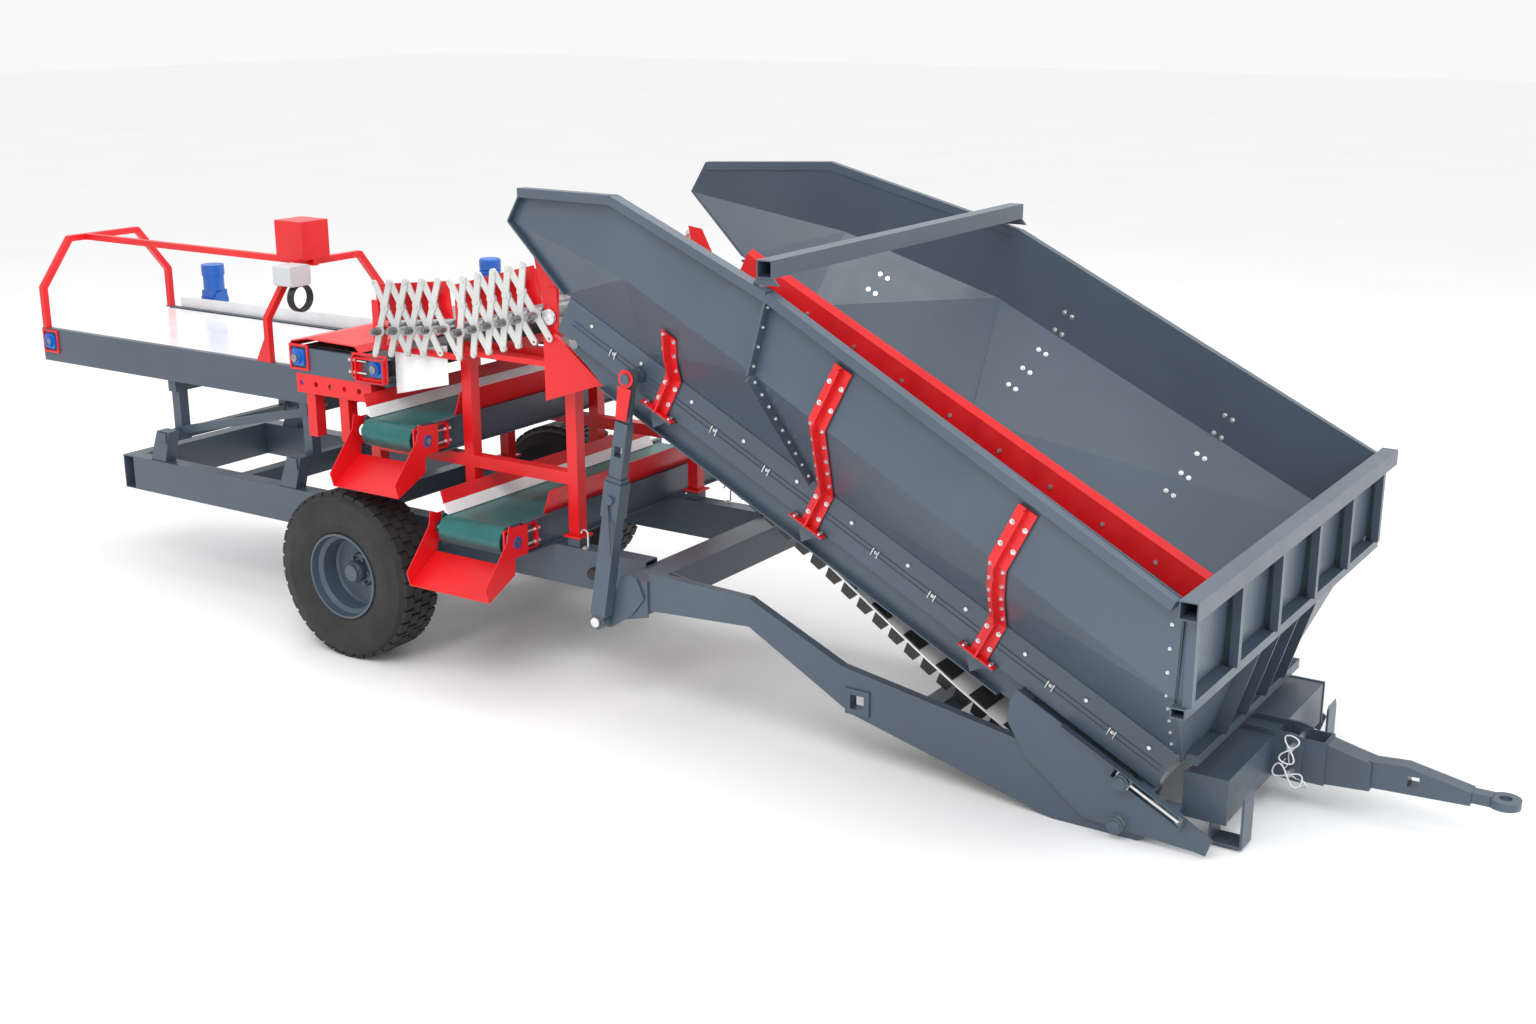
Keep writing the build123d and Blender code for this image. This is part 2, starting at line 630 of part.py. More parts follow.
def elevator_frame():
    """Side plates, tail plates with take-up slots, and cross tubes."""
    pieces = []
    tail_x, tail_z = slope(TAIL_S, TAIL_N)
    head_x, head_z = slope(HEAD_S, HEAD_N)
    for side in (-1, 1):
        outline = [
            slope(20, -6), slope(20, -118), slope(ELEV_LENGTH - 240, -118),
            slope(ELEV_LENGTH, -50), slope(ELEV_LENGTH + 30, 60), slope(ELEV_LENGTH - 30, 90),
            slope(ELEV_LENGTH - 120, 60), slope(ELEV_LENGTH - 140, -6),
        ]
        cheek = plate_xz(outline, side * ELEV_Y0, side * ELEV_Y1)
        for x, z in ((tail_x, tail_z), (head_x, head_z)):
            cheek -= cyl_y(x, z, DRUM_SHAFT_R + RUN_FIT, side * 600, side * 700)
        pieces.append(cheek)
        flange = [slope(760, -118), slope(ELEV_LENGTH - 240, -118)]
        flange += [slope(ELEV_LENGTH - 240, -112), slope(760, -112)]
        pieces.append(plate_xz(flange, side * ELEV_Y1, side * (ELEV_Y1 + 36)))
        tail = plate_xz(TAIL_PLATE, side * TAIL_Y0, side * TAIL_Y1)
        slot = [slope(-120, -62), slope(200, -62), slope(200, -18), slope(-120, -18)]
        tail -= plate_xz(slot, side * 600, side * 800)
        tail -= cyl_y(TILT_X, TILT_Z, TILT_PIN_R + RUN_FIT, side * 600, side * 800)
        pieces.append(tail)
        # spacers between the side plate and the tail plate
        for s in (30, 620):
            spacer = [slope(s, -14), slope(s, -8), slope(s + 60, -8), slope(s + 60, -14)]
            pieces.append(plate_xz(spacer, side * ELEV_Y0, side * TAIL_Y1))
        # gusset lugs that carry the hopper brackets
        for s in BRACKET_S:
            lug = [slope(s - 70, -8), slope(s, -96), slope(s + 70, -8)]
            pieces.append(plate_xz(lug, side * (ELEV_Y1 + 48), side * (ELEV_Y1 + 54)))
            top = [slope(s - 90, -14), slope(s - 90, -6), slope(s + 90, -6), slope(s + 90, -14)]
            pieces.append(plate_xz(top, side * ELEV_Y1, side * (ELEV_Y1 + 92)))
        # strut pin and its boss
        top_pin = (STRUT_TOP_X, STRUT_TOP_Z)
        pieces.append(cyl_y(*top_pin, STRUT_PIN_R, side * ELEV_Y1, side * (STRUT_Y1 + 12)))
        pieces.append(cyl_y(*top_pin, 24, side * (STRUT_Y1 + 4), side * (STRUT_Y1 + 12)))
        pieces.append(cyl_y(*top_pin, 34, side * ELEV_Y1, side * (STRUT_Y0 - 4)))
        pieces.append(plate_xz(STRUT_LUG, side * ELEV_Y1, side * (ELEV_Y1 + 5)))
    for s in (560, 1450, 2360):
        n = axis_n(s) - 22
        x, z = slope(s, n)
        tilt = (math.sin(SLOPE), 0, math.cos(SLOPE))
        pieces.append(bar((x, -ELEV_Y0, z), (x, ELEV_Y0, z), 60, 60, 5, up=tilt))
    return join(pieces)


def return_run():
    """Centre line of the belt's hanging lower run, from the head to the tail, as s and n."""
    line = []
    drop = ELEV_DRUM_R + ELEV_BELT_T / 2
    stations = [HEAD_S, RETURN_TAUT_S] + [RETURN_SLACK_S - 2 * FLIGHT_PITCH * k for k in range(9)]
    for s in stations:
        u = (s - TAIL_S) / (RETURN_SLACK_S - TAIL_S)
        sag = RETURN_SAG * math.sqrt(u) * (1 - u) ** 1.6 if u < 1 else 0.0
        line.append((s, axis_n(s) - drop - sag))
    return line + list(RETURN_LOW)


def drum_arc(s, n, start, end, steps=30):
    """Points of the belt's centre line round a drum; angles count from +s towards +n."""
    r = ELEV_DRUM_R + ELEV_BELT_T / 2
    points = []
    for k in range(steps + 1):
        a = math.radians(start + (end - start) * k / steps)
        points.append((s + r * math.cos(a), n + r * math.sin(a)))
    return points


def belt_line():
    """The belt's closed centre line: carrying run, head drum, hanging run, tail drum."""
    head = drum_arc(HEAD_S, HEAD_N, 90, -88)
    tail = drum_arc(TAIL_S, TAIL_N, 253, 92)
    return head + return_run()[1:] + tail


def offset_line(line, distance):
    """The closed line moved outwards, square to itself, as X and Z."""
    moved = []
    count = len(line)
    for k, (s, n) in enumerate(line):
        s0, n0 = line[k - 1]
        s1, n1 = line[(k + 1) % count]
        length = math.hypot(s1 - s0, n1 - n0)
        moved.append(slope(s + distance * (n0 - n1) / length, n + distance * (s1 - s0) / length))
    return moved


def elevator_belt():
    """The endless belt as one closed band."""
    line = belt_line()
    outer = plate_xz(offset_line(line, ELEV_BELT_T / 2), -half_belt, half_belt)
    inner = plate_xz(offset_line(line, CLEAR - ELEV_BELT_T / 2), -half_belt - 1, half_belt + 1)
    return outer - inner


def flight_at(s0, n0, s1, n1, whole):
    """A rubber flight, or a pair of edge blocks, on the belt from one point to another."""
    length = math.hypot(s1 - s0, n1 - n0)
    along = ((s1 - s0) / length, (n1 - n0) / length)
    up = (-along[1], along[0])

    def spot(a, h):
        return slope(s0 + along[0] * a + up[0] * h, n0 + along[1] * a + up[1] * h)

    low = ELEV_BELT_T / 2 + 0.2
    high = low + FLIGHT_H
    edge = ELEV_BELT_W / 2
    outline = [spot(0, low), spot(FLIGHT_W, low), spot(FLIGHT_W - 12, high), spot(12, high)]
    if whole:
        return [plate_xz(outline, -edge + 2, edge - 2)]
    return [plate_xz(outline, side * (edge - EDGE_W), side * (edge - 2)) for side in (-1, 1)]


def elevator_flights():
    """Rubber flights right across the belt, with edge blocks between them."""
    pieces = []
    count = int((HEAD_S - TAIL_S - 60) / FLIGHT_PITCH)
    top = ELEV_DRUM_R + ELEV_BELT_T / 2
    for k in range(count):
        s = TAIL_S + 40 + FLIGHT_PITCH * k
        start, end = axis_n(s) + top, axis_n(s + FLIGHT_W) + top
        pieces += flight_at(s, start, s + FLIGHT_W, end, k % 2 == 0)
    # the same pitch down the hanging run
    run = return_run()[1:]
    step = 0
    for (s0, n0), (s1, n1) in zip(run, run[1:]):
        length = math.hypot(s1 - s0, n1 - n0)
        share = int(length / FLIGHT_PITCH)
        for k in range(share):
            a = (k + 0.5) / share - FLIGHT_W / 2 / length
            b = a + FLIGHT_W / length
            ends = (s0 + (s1 - s0) * a, n0 + (n1 - n0) * a, s0 + (s1 - s0) * b, n0 + (n1 - n0) * b)
            pieces += flight_at(*ends, step % 2 == 0)
            step += 1
    return pieces


def take_up_screws():
    """Threaded rods that pull the tail shaft's bearing blocks forward."""
    pieces = []
    tail_x, tail_z = slope(TAIL_S, TAIL_N)
    for side in (-1, 1):
        y = side * (TAIL_Y0 + TAIL_Y1) / 2
        block = [slope(TAIL_S - 34, -61), slope(TAIL_S + 34, -61)]
        block += [slope(TAIL_S + 34, -19), slope(TAIL_S - 34, -19)]
        carrier = plate_xz(block, y - side * 4, y + side * 14)
        a, b = slope(TAIL_S - 30, TAIL_N), slope(-110, TAIL_N)
        screw = rod((a[0], y + side * 4, a[1]), (b[0], y + side * 4, b[1]), 8)
        carrier = carrier + screw
        carrier -= cyl_y(tail_x, tail_z, DRUM_SHAFT_R + RUN_FIT, side * 600, side * 800)
        pieces.append(carrier)
    return pieces


belt_tail = slope(TAIL_S, TAIL_N)
belt_head = slope(HEAD_S, HEAD_N)
half_belt = ELEV_BELT_W / 2
node("elevator_frame", elevator_frame())
node("elevator_belt", elevator_belt())
node("elevator_flights", elevator_flights())
node("elevator_tail_drum", drum_y(*belt_tail, ELEV_DRUM_R, half_belt - 6, TAIL_Y1 + 26))
node("elevator_head_drum", drum_y(*belt_head, ELEV_DRUM_R, half_belt - 6, ELEV_Y1 + 42))
node("take_up_screws", take_up_screws())


# ---- hopper ----


def hopper_foot(side):
    """Lower edge of a side wall, on top of its channel."""
    points = []
    for s in FOOT_S:
        x, z = slope(s, CHANNEL_N)
        points.append((x, side * (HOPPER_FOOT_Y - 8), z))
    return points


def hopper_walls():
    """Folded side walls, their channels, rim tubes and joint flanges."""
    pieces = []
    for side in (-1, 1):
        rim_line = [(x, side * y, z) for x, y, z in RIM]
        fold_line = [(x, side * y, z) for x, y, z in FOLD]
        foot_line = hopper_foot(side)
        pieces.append(shell_strip([rim_line, fold_line, foot_line], (0, side * 5, 0)))
        channel = [
            (side * CHANNEL_Y0, 2), (side * HOPPER_FOOT_Y, 2),
            (side * HOPPER_FOOT_Y, CHANNEL_N), (side * CHANNEL_Y0, CHANNEL_N),
        ]
        inner = [
            (side * (CHANNEL_Y0 - 1), 8), (side * (HOPPER_FOOT_Y - 5), 8),
            (side * (HOPPER_FOOT_Y - 5), CHANNEL_N - 6), (side * (CHANNEL_Y0 - 1), CHANNEL_N - 6),
        ]
        c_section = slope_prism(channel, 40, 3300) - slope_prism(inner, 30, 3310)
        for n in (66, 88):
            rib = [(side * 699, n), (side * 704, n), (side * 704, n + 5), (side * 699, n + 5)]
            c_section += slope_prism(rib, 60, 3240)
        c_section -= cyl_y(STRUT_TOP_X, STRUT_TOP_Z, 36, side * 600, side * 720)
        c_section -= cyl_y(*slope(HEAD_S, HEAD_N), DRUM_SHAFT_R + 4, side * 600, side * 720)
        pieces.append(c_section)
        for k in range(len(RIM) - 1):
            a, b = rim_line[k], rim_line[k + 1]
            y = side * 26
            start = (a[0] - (20 if k == 0 else 0), a[1] + y, a[2] - 18)
            end = (b[0], b[1] + y, b[2] - 18)
            pieces.append(bar(start, end, 50, 40))
        # bolted joint flange at the wall's seam
        seam = [rim_line[1], fold_line[1], foot_line[1]]
        for a, b in zip(seam, seam[1:]):
            out = side * 26
            start, end = (a[0], a[1] + out, a[2] - 8), (b[0], b[1] + out, b[2] + 4)
            pieces.append(bar(start, end, 50, 12, up=(math.cos(SLOPE), 0, -math.sin(SLOPE))))
        # rear stiffening edge
        rear = [rim_line[-1], fold_line[-1], foot_line[-1]]
        for a, b in zip(rear, rear[1:]):
            start, end = (a[0] + 8, a[1] + side * 18, a[2]), (b[0] + 8, b[1] + side * 18, b[2])
            pieces.append(bar(start, end, 32, 8, up=(1, 0, 0)))
    return pieces


def merge_side(pieces):
    """Joins the pieces of one side into one welded wall."""
    half = len(pieces) // 2
    return [join(pieces[:half]), join(pieces[half:])]


def front_x(z):
    """Inner face of the front wall at a height."""
    if z >= FRONT_FOLD[2]:
        high, low = FRONT_TOP, FRONT_FOLD
    else:
        foot = slope(FOOT_S[0], CHANNEL_N)
        high, low = FRONT_FOLD, (foot[0], 0, foot[1])
    share = (z - low[2]) / (high[2] - low[2])
    return low[0] + share * (high[0] - low[0])


def hopper_front_wall():
    """The front wall and funnel with its tubes, ribs and gussets."""
    foot_z = slope(FOOT_S[0], CHANNEL_N)[1]
    outline = [(1190, 1190), (1183, 815), (HOPPER_FOOT_Y - 8, foot_z), (NECK_Y, NECK_Z)]
    rows = []
    for y, z in outline:
        rows.append([(front_x(z) + 0.05, -y, z), (front_x(z) + 0.05, y, z)])
    wall = shell_strip(rows, (5, 0, 0))
    top = bar((4396, -1262, 1172), (4396, 1262, 1172), 70, 70, 5)
    low_x = front_x(776) + 36
    low = bar((low_x, -1215, 776), (low_x, 1215, 776), 56, 40, 5)
    pieces = [wall, top, low]
    for y in (-1172, -700, -236, 236, 700, 1172):
        rib = [(front_x(815) + 4, 790), (front_x(815) + 54, 790), (4410, 1142), (4359, 1142)]
        pieces.append(plate_xz(rib, y - 5, y + 5))
        pieces.append(box(4374, 4408, y - 28, y + 5, 797, 1138))
    for y in (-360, -120, 120, 360):
        gusset = [
            (front_x(757) + 4, 757), (front_x(757) + 60, 757),
            (front_x(400) + 62, 372), (front_x(372) + 4, 372),
        ]
        pieces.append(plate_xz(gusset, y - 5, y + 5))
    lip = box(front_x(372) + 2, front_x(372) + 54, -628, 628, 330, 372)
    pieces.append(lip)
    return join(pieces)


def hopper_crossbar():
    """The tube across the hopper with its end plates."""
    z = RIM[1][2] + 86
    ends = ((RIM[1][0] - 20, -1110, z), (RIM[1][0] - 20, 1110, z))
    pieces = [bar(*ends, 70, 70, 5)]
    for side in (-1, 1):
        foot = [(2520, RIM[1][2] + 24), (2640, RIM[1][2] + 24), (2612, z - 30), (2548, z - 30)]
        pieces.append(plate_xz(foot, side * 1090, side * 1102))
    return join(pieces)


def seal_strips():
    """Flat strips that close the walls down on to the belt's edges."""
    pieces = []
    for side in (-1, 1):
        profile = [
            (side * 648, 70), (side * 652, 70), (side * 652, 222), (side * 684, 246),
            (side * 681, 250), (side * 648, 225),
        ]
        strip = slope_prism(profile, 60, 3280)
        # notch round the strut's upper lug
        s = to_slope(STRUT_TOP_X, STRUT_TOP_Z)[0]
        notch = [(side * 640, 60), (side * 660, 60), (side * 660, 114), (side * 640, 114)]
        pieces.append(strip - slope_prism(notch, s - 180, s + 80))
    return pieces


def to_slope(x, z):
    """X and Z as elevator coordinates s and n."""
    dx, dz = x - GAP_X, z - GAP_Z
    s = -dx * math.cos(SLOPE) + dz * math.sin(SLOPE)
    n = dx * math.sin(SLOPE) + dz * math.cos(SLOPE)
    return (s, n)


def line_at(line, s):
    """Where a wall line (X, Y, Z points) crosses station s: its y and n."""
    points = [(*to_slope(x, z), y) for x, y, z in line]
    for (s0, n0, y0), (s1, n1, y1) in zip(points, points[1:]):
        if s0 <= s <= s1:
            share = (s - s0) / (s1 - s0)
            return (y0 + share * (y1 - y0), n0 + share * (n1 - n0))
    return (points[0][2], points[0][1])


def wall_profile(s):
    """The side wall's outline at station s, from its foot up, as y and n."""
    foot = [(x, y, z) for x, y, z in hopper_foot(1)]
    profile = [line_at(foot, s)]
    for lower, upper_line in ((foot, FOLD), (FOLD, RIM)):
        for k in range(len(FOLD) - 1):
            crease = [upper_line[k], lower[k + 1]]
            s0, s1 = (to_slope(x, z)[0] for x, _, z in crease)
            if s0 < s < s1:
                profile.append(line_at(crease, s))
        profile.append(line_at(upper_line, s))
    return profile


def hopper_bracket(s, side, short):
    """A folded bracket from the elevator's lug up the outside of the wall."""
    base = [slope(s - 90, -5), slope(s - 90, 1), slope(s + 90, 1), slope(s + 90, -5)]
    foot = plate_xz(base, side * (HOPPER_FOOT_Y + 5), side * (ELEV_Y1 + 92))
    top = BRACKET_SHORT if short else BRACKET_TOP
    edge = [(HOPPER_FOOT_Y + 6, -2), (HOPPER_FOOT_Y + 6, CHANNEL_N - 4)]
    profile = wall_profile(s)
    for (y0, n0), (y1, n1) in zip(profile, profile[1:]):
        if n1 < top:
            edge.append((y1 + BRACKET_OFF, n1))
        elif n0 < top:
            share = (top - n0) / (n1 - n0)
            edge.append((y0 + share * (y1 - y0) + BRACKET_OFF, top))
    line = [(side * y, n) for y, n in edge]
    pieces = [foot]
    for thick, low, high in ((46, -4, 4), (7, -42, 42)):
        far = [(y + side * thick, n) for y, n in reversed(line)]
        pieces.append(slope_prism(line + far, s + low, s + high))
    return join(pieces)


def receiver_fasteners():
    """Bolts of the walls, brackets and strips."""
    pieces = []
    for side in (-1, 1):
        for k in range(11):
            s = 140 + 300 * k
            x, z = slope(s, 150)
            pieces.append(cyl_y(x, z, 10, side * 642, side * 648))
            x, z = slope(s, 128)
            pieces.append(cyl_y(x, z, 8, side * (HOPPER_FOOT_Y + 0.2), side * (HOPPER_FOOT_Y + 9)))
        for s in BRACKET_S:
            for step in (-68, 68):
                for y in (715, 732):
                    a, b = slope(s + step, 1.2), slope(s + step, 10)
                    pieces.append(rod((a[0], side * y, a[1]), (b[0], side * y, b[1]), 7))
    return pieces


node("hopper_walls", merge_side(hopper_walls()) + [hopper_crossbar()])
node("hopper_front_wall", hopper_front_wall())
node("hopper_seal_strips", seal_strips())
brackets = []
for side in (-1, 1):
    for s in BRACKET_S:
        brackets.append(hopper_bracket(s, side, s == BRACKET_S[-1]))
node("hopper_brackets", brackets)
node("receiver_fasteners", receiver_fasteners())


# ---- lifting struts ----
def strut_point(t):
    """A point along the strut, t from its foot pin, as X and Z."""
    dx, dz = STRUT_TOP_X - STRUT_FOOT_X, STRUT_TOP_Z - STRUT_FOOT_Z
    length = math.hypot(dx, dz)
    return (STRUT_FOOT_X + dx * t / length, STRUT_FOOT_Z + dz * t / length)


def strut_bar(side, t0, t1, width, depth, wall=0.0):
    """A rectangular bar along the strut; depth lies along Y."""
    y = side * (STRUT_Y0 + STRUT_Y1) / 2
    a, b = strut_point(t0), strut_point(t1)
    return bar((a[0], y, a[1]), (b[0], y, b[1]), width, depth, wall, up=(0, 1, 0))


def strut_sleeve(side):
    """The lower tube with its foot eye, locking plate and handle."""
    tube = strut_bar(side, 30, STRUT_SLEEVE_T, 80, STRUT_Y1 - STRUT_Y0)
    hollow = strut_bar(side, 90, STRUT_SLEEVE_T + 1, 70, STRUT_Y1 - STRUT_Y0 - 10)
    eye = cyl_y(STRUT_FOOT_X, STRUT_FOOT_Z, 38, side * STRUT_Y0, side * (STRUT_Y1 - 2))
    body = tube + eye
    t0, t1 = STRUT_SLEEVE_T - 190, STRUT_SLEEVE_T - 20
    cover = strut_bar(side, t0, t1, 92, STRUT_Y1 - STRUT_Y0 + 14)
    body += cover - strut_bar(side, t0 - 1, t1 + 1, 76, STRUT_Y1 - STRUT_Y0 - 6)
    x, z = strut_point(STRUT_SLEEVE_T - 100)
    body += cyl_y(x, z, 20, side * (STRUT_Y1 + 6.5), side * (STRUT_Y1 + 20))
    a, b = (x - 14, side * (STRUT_Y1 + 14), z - 6), (x + 6, side * (STRUT_Y1 + 26), z - 250)
    body += rod(a, b, 6)
    hole = STRUT_PIN_R + RUN_FIT
    body -= cyl_y(STRUT_FOOT_X, STRUT_FOOT_Z, hole, side * 700, side * 830)
    return body - hollow


def strut_inner(side):
    """The sliding tube with its end link and eye."""
    gap = 2 * CLEAR
    tube = strut_bar(side, STRUT_INNER_T, 960, 70 - gap, STRUT_Y1 - STRUT_Y0 - 10 - gap)
    window = strut_bar(side, 800, 850, 40, STRUT_Y1 - STRUT_Y0 + 20)
    link = strut_bar(side, 950, 1165, 66, 20)
    eye = cyl_y(STRUT_TOP_X, STRUT_TOP_Z, 40, side * 762, side * 782)
    body = (tube - window) + link + eye
    body -= cyl_y(STRUT_TOP_X, STRUT_TOP_Z, STRUT_PIN_R + STRUT_PLAY, side * 740, side * 830)
    return body


node("strut_sleeves", [strut_sleeve(-1), strut_sleeve(1)])
node("strut_inners", [strut_inner(-1), strut_inner(1)])


# ---- inspection table ----
def channel_x(x0, x1, y_out, z0, z1, side, depth=50.0, web=6.0):
    """A C channel along X with its web outside at y_out."""
    outer = box(x0, x1, side * (y_out - depth), side * y_out, z0, z1)
    hollow = box(x0 - 1, x1 + 1, side * (y_out - depth - 1), side * (y_out - web), z0 + web, z1 - web)
    return outer - hollow


def inspection_frame():
    """Side channels joined by the slider bed and two cross ties."""
    pieces = []
    for side in (-1, 1):
        channel = channel_x(TABLE_X0, TABLE_X1, TABLE_Y, TABLE_Z0, TABLE_Z1, side, 36)
        for x in TABLE_DRUM_X:
            channel -= cyl_y(x, TABLE_DRUM_Z, DRUM_SHAFT_R + RUN_FIT, side * 400, side * 500)
        pieces.append(channel)
    inner = TABLE_Y - 5
    bed_z = TABLE_DRUM_Z + TABLE_DRUM_R - 12
    pieces.append(box(TABLE_X0 + 150, TABLE_X1 - 160, -inner, inner, bed_z - 5, bed_z))
    for x in TABLE_LEGS:
        pieces.append(box(x - 30, x + 46, -inner, inner, TABLE_Z0, TABLE_Z0 + 8))
    return join(pieces)


table_a = (TABLE_DRUM_X[0], TABLE_DRUM_Z)
table_b = (TABLE_DRUM_X[1], TABLE_DRUM_Z)
node("inspection_frame", inspection_frame())
node(
    "inspection_belt",
    belt_loop(table_a, table_b, TABLE_DRUM_R + CLEAR, 5, -TABLE_BELT_HALF, TABLE_BELT_HALF),
)
node("inspection_tail_drum", drum_y(*table_a, TABLE_DRUM_R, 410, 486))
node("inspection_head_drum", drum_y(*table_b, TABLE_DRUM_R, 410, 486))


def guard_hoops():
    """Two bent hoops and the long rail that joins them over the table."""
    pieces = []
    for x in HOOP_X:
        for (y0, z0), (y1, z1) in zip(HOOP, HOOP[1:]):
            pieces.append(bar((x, y0, z0), (x, y1, z1), HOOP_TUBE, HOOP_TUBE, up=(1, 0, 0)))
        for y, z in HOOP[1:-1]:
            pieces.append(cyl_x(y, z, HOOP_TUBE / 2, x - HOOP_TUBE / 2, x + HOOP_TUBE / 2))
        for side in (-1, 1):
            foot = [(x - 90, TABLE_Z1), (x - 17, TABLE_Z1 + 130), (x + 17, TABLE_Z1 + 130)]
            foot += [(x + 17, TABLE_Z1)]
            if x > HOOP_X[0]:
                pieces.append(plate_xz(foot, side * 452, side * 458))
    rail_end = CABINET_X + CABINET_LENGTH
    pieces.append(box(HOOP_X[0], rail_end, RAIL_Y - 17, RAIL_Y + 17, 1773, 1807))
    return join(pieces)


node("guard_hoops", guard_hoops())


def control_cabinet():
    """A closed sheet box with a lid and a cable on its end."""
    x0, x1 = CABINET_X, CABINET_X + CABINET_LENGTH
    y0, y1 = RAIL_Y - 90, RAIL_Y + 90
    case = box(x0, x1, y0, y1, 1807, 2010)
    case -= box(x0 + 3, x1 - 3, y0 + 3, y1 + 1, 1810, 2007)
    lid = box(x0, x1, y1, y1 + 12, 1807, 2010)
    return join([case, lid])


def ring_x(x, y, z, major, minor):
    """A ring that lies square to X."""
    return Pos(x, y, z) * Rot(0, 90, 0) * Torus(major, minor)


def junction_box():
    """A closed box on the hoop with the coiled service cable under it."""
    x = HOOP_X[1] + 18
    y, z = JUNCTION_Y, 1700
    case = box(x, x + 130, y - 70, y + 70, z, z + 105)
    case = fillet(case.edges().filter_by(Axis.X), 10)
    coil = []
    for k in range(3):
        coil.append(ring_x(x + 80 + 15 * k, y + 20, z - 66, 68, 7))
    gland = cyl_z(x + 95, y + 20, 9, z - 10, z)
    return [case, *coil, gland]


node("control_cabinet", control_cabinet())
node("junction_box", junction_box())


# ---- transfer conveyor ----


def transfer_frame():
    """Side channels with a slider bed between the two drums."""
    pieces = []
    x0, x1 = TRANSFER_X0 - TRANSFER_END, TRANSFER_X1 + TRANSFER_END
    z0, z1 = TRANSFER_Z0, TRANSFER_Z1
    for side in (-1, 1):
        channel = channel_x(x0, x1, TRANSFER_Y, z0, z1, side, 30, 5)
        for x in (TRANSFER_X0, TRANSFER_X1):
            channel -= cyl_y(x, TRANSFER_Z, DRUM_SHAFT_R + RUN_FIT, side * 600, side * 660)
        pieces.append(channel)
    bed = TRANSFER_Z + TRANSFER_DRUM_R - 12
    pieces.append(box(TRANSFER_X0 + 90, TRANSFER_X1 - 90, -TRANSFER_Y + 4, TRANSFER_Y - 4, bed - 5, bed))
    return join(pieces)


node("transfer_frame", transfer_frame())
transfer_a, transfer_b = (TRANSFER_X0, TRANSFER_Z), (TRANSFER_X1, TRANSFER_Z)
node("transfer_belt", belt_loop(transfer_a, transfer_b, TRANSFER_DRUM_R + CLEAR, 5, -600, 600))
node("transfer_tail_drum", drum_y(*transfer_b, TRANSFER_DRUM_R, 596, TRANSFER_Y + 42))
node("transfer_head_drum", drum_y(*transfer_a, TRANSFER_DRUM_R, 596, TRANSFER_Y + 42))


# ---- cross conveyors ----
turn_to_y = Rot(0, 0, -90)       # local +X becomes -Y, local +Y becomes +X


def cross_parts(data):
    """One cross conveyor, built along local X and turned across the machine."""
    x0, x1 = data["x0"], data["x1"]
    near, far = data["near"], data["far"]
    z = data["top"] - CROSS_DRUM_R - 6
    a, b = (-far, z), (near, z)
    wide0, wide1 = x0 - CROSS_GAP, x1 + CROSS_GAP
    low, high = z - 78, z + 78
    frame = []
    for y_in, y_out in ((wide0, wide0 - 30), (wide1, wide1 + 30)):
        web0, web1 = (y_in, y_in - CROSS_WEB) if y_out < y_in else (y_in, y_in + CROSS_WEB)
        plate = box(-far - 60, near + 20, web0, web1, low, high)
        for edge in (low, high - CROSS_WEB):
            plate += box(-far - 60, near - 60, web0, y_out, edge, edge + CROSS_WEB)
        for x in (-far, near):
            plate -= cyl_y(x, z, CROSS_SHAFT_R + RUN_FIT, y_out - 60, y_out + 60)
        frame.append(plate)
    bed = z + CROSS_DRUM_R - 12
    frame.append(box(-far + 90, near - 90, wide0, wide1, bed - 5, bed))
    frame = join(frame)
    belt = belt_loop(a, b, CROSS_DRUM_R + CLEAR, 5.5, x0, x1)
    drums = []
    for x in (near, -far):
        body = drum_shell(x, z, CROSS_DRUM_R, x0 + 3, x1 - 3, CROSS_SHAFT_R)
        body += cyl_y(x, z, CROSS_SHAFT_R, wide0 - 40, wide1 + 46)
        drums.append(body)
    # flared guard on the far-forward side, over the channel
    guard_y = wide1 + 2
    top = high
    face = [(guard_y, top), (guard_y + 6, top), (guard_y + 50, top + 120), (guard_y + 44, top + 120)]
    guard = plate_yz(face, -far + 40, near - 230)
    back_y = wide0 - 2
    face = [(back_y, top), (back_y - 6, top), (back_y - 34, top + 96), (back_y - 28, top + 96)]
    guard_back = plate_yz(face, -far + 40, near - 10)
    skirt = [(x0 - 15, z + 79), (x0 - 15, z + 120), (x0 - 11, z + 120)]
    skirt += [(x0 + 14, z + 71), (x0 + 9, z + 71)]
    white = plate_yz(skirt, -far + 60, near + 6)
    # take-up plates and chute at the near end
    cheek = [
        (near + 20, low + 10), (near - 70, low + 10), (near - 70, high - 6), (near + 10, high - 6),
        (near + 58, high + 14), (near + 74, z + 20), (near + CHUTE_REACH, z - 168),
        (near + CHUTE_REACH - 20, z - 236), (near + 30, z - 150),
    ]
    chute = []
    for y_web, sign in ((wide0 - CROSS_WEB, -1), (wide1 + CROSS_WEB, 1)):
        plate = plate_xz(cheek, y_web + sign * 31, y_web + sign * 36)
        plate -= cyl_y(near, z, 30, y_web - 60, y_web + 60)
        plate += box(near - 66, near - 40, y_web, y_web + sign * 36, z - 60, z - 40)
        plate += box(near - 66, near - 40, y_web, y_web + sign * 36, z + 40, z + 60)
        chute.append(plate)
    floor = [
        (near + 30, z - 118), (near + CHUTE_REACH - 20, z - 236), (near + CHUTE_REACH - 17, z - 231),
        (near + 33, z - 112),
    ]
    chute.append(plate_xz(floor, wide0 - CROSS_WEB - 36, wide1 + CROSS_WEB + 36))
    return {
        "frame": turn_to_y * frame,
        "belt": turn_to_y * belt,
        "near_drum": turn_to_y * drums[0],
        "far_drum": turn_to_y * drums[1],
        "guards": [turn_to_y * guard, turn_to_y * guard_back, turn_to_y * join(chute)],
        "skirt": turn_to_y * white,
        "z": z,
        "edge": wide1 + CROSS_WEB + 36,
    }


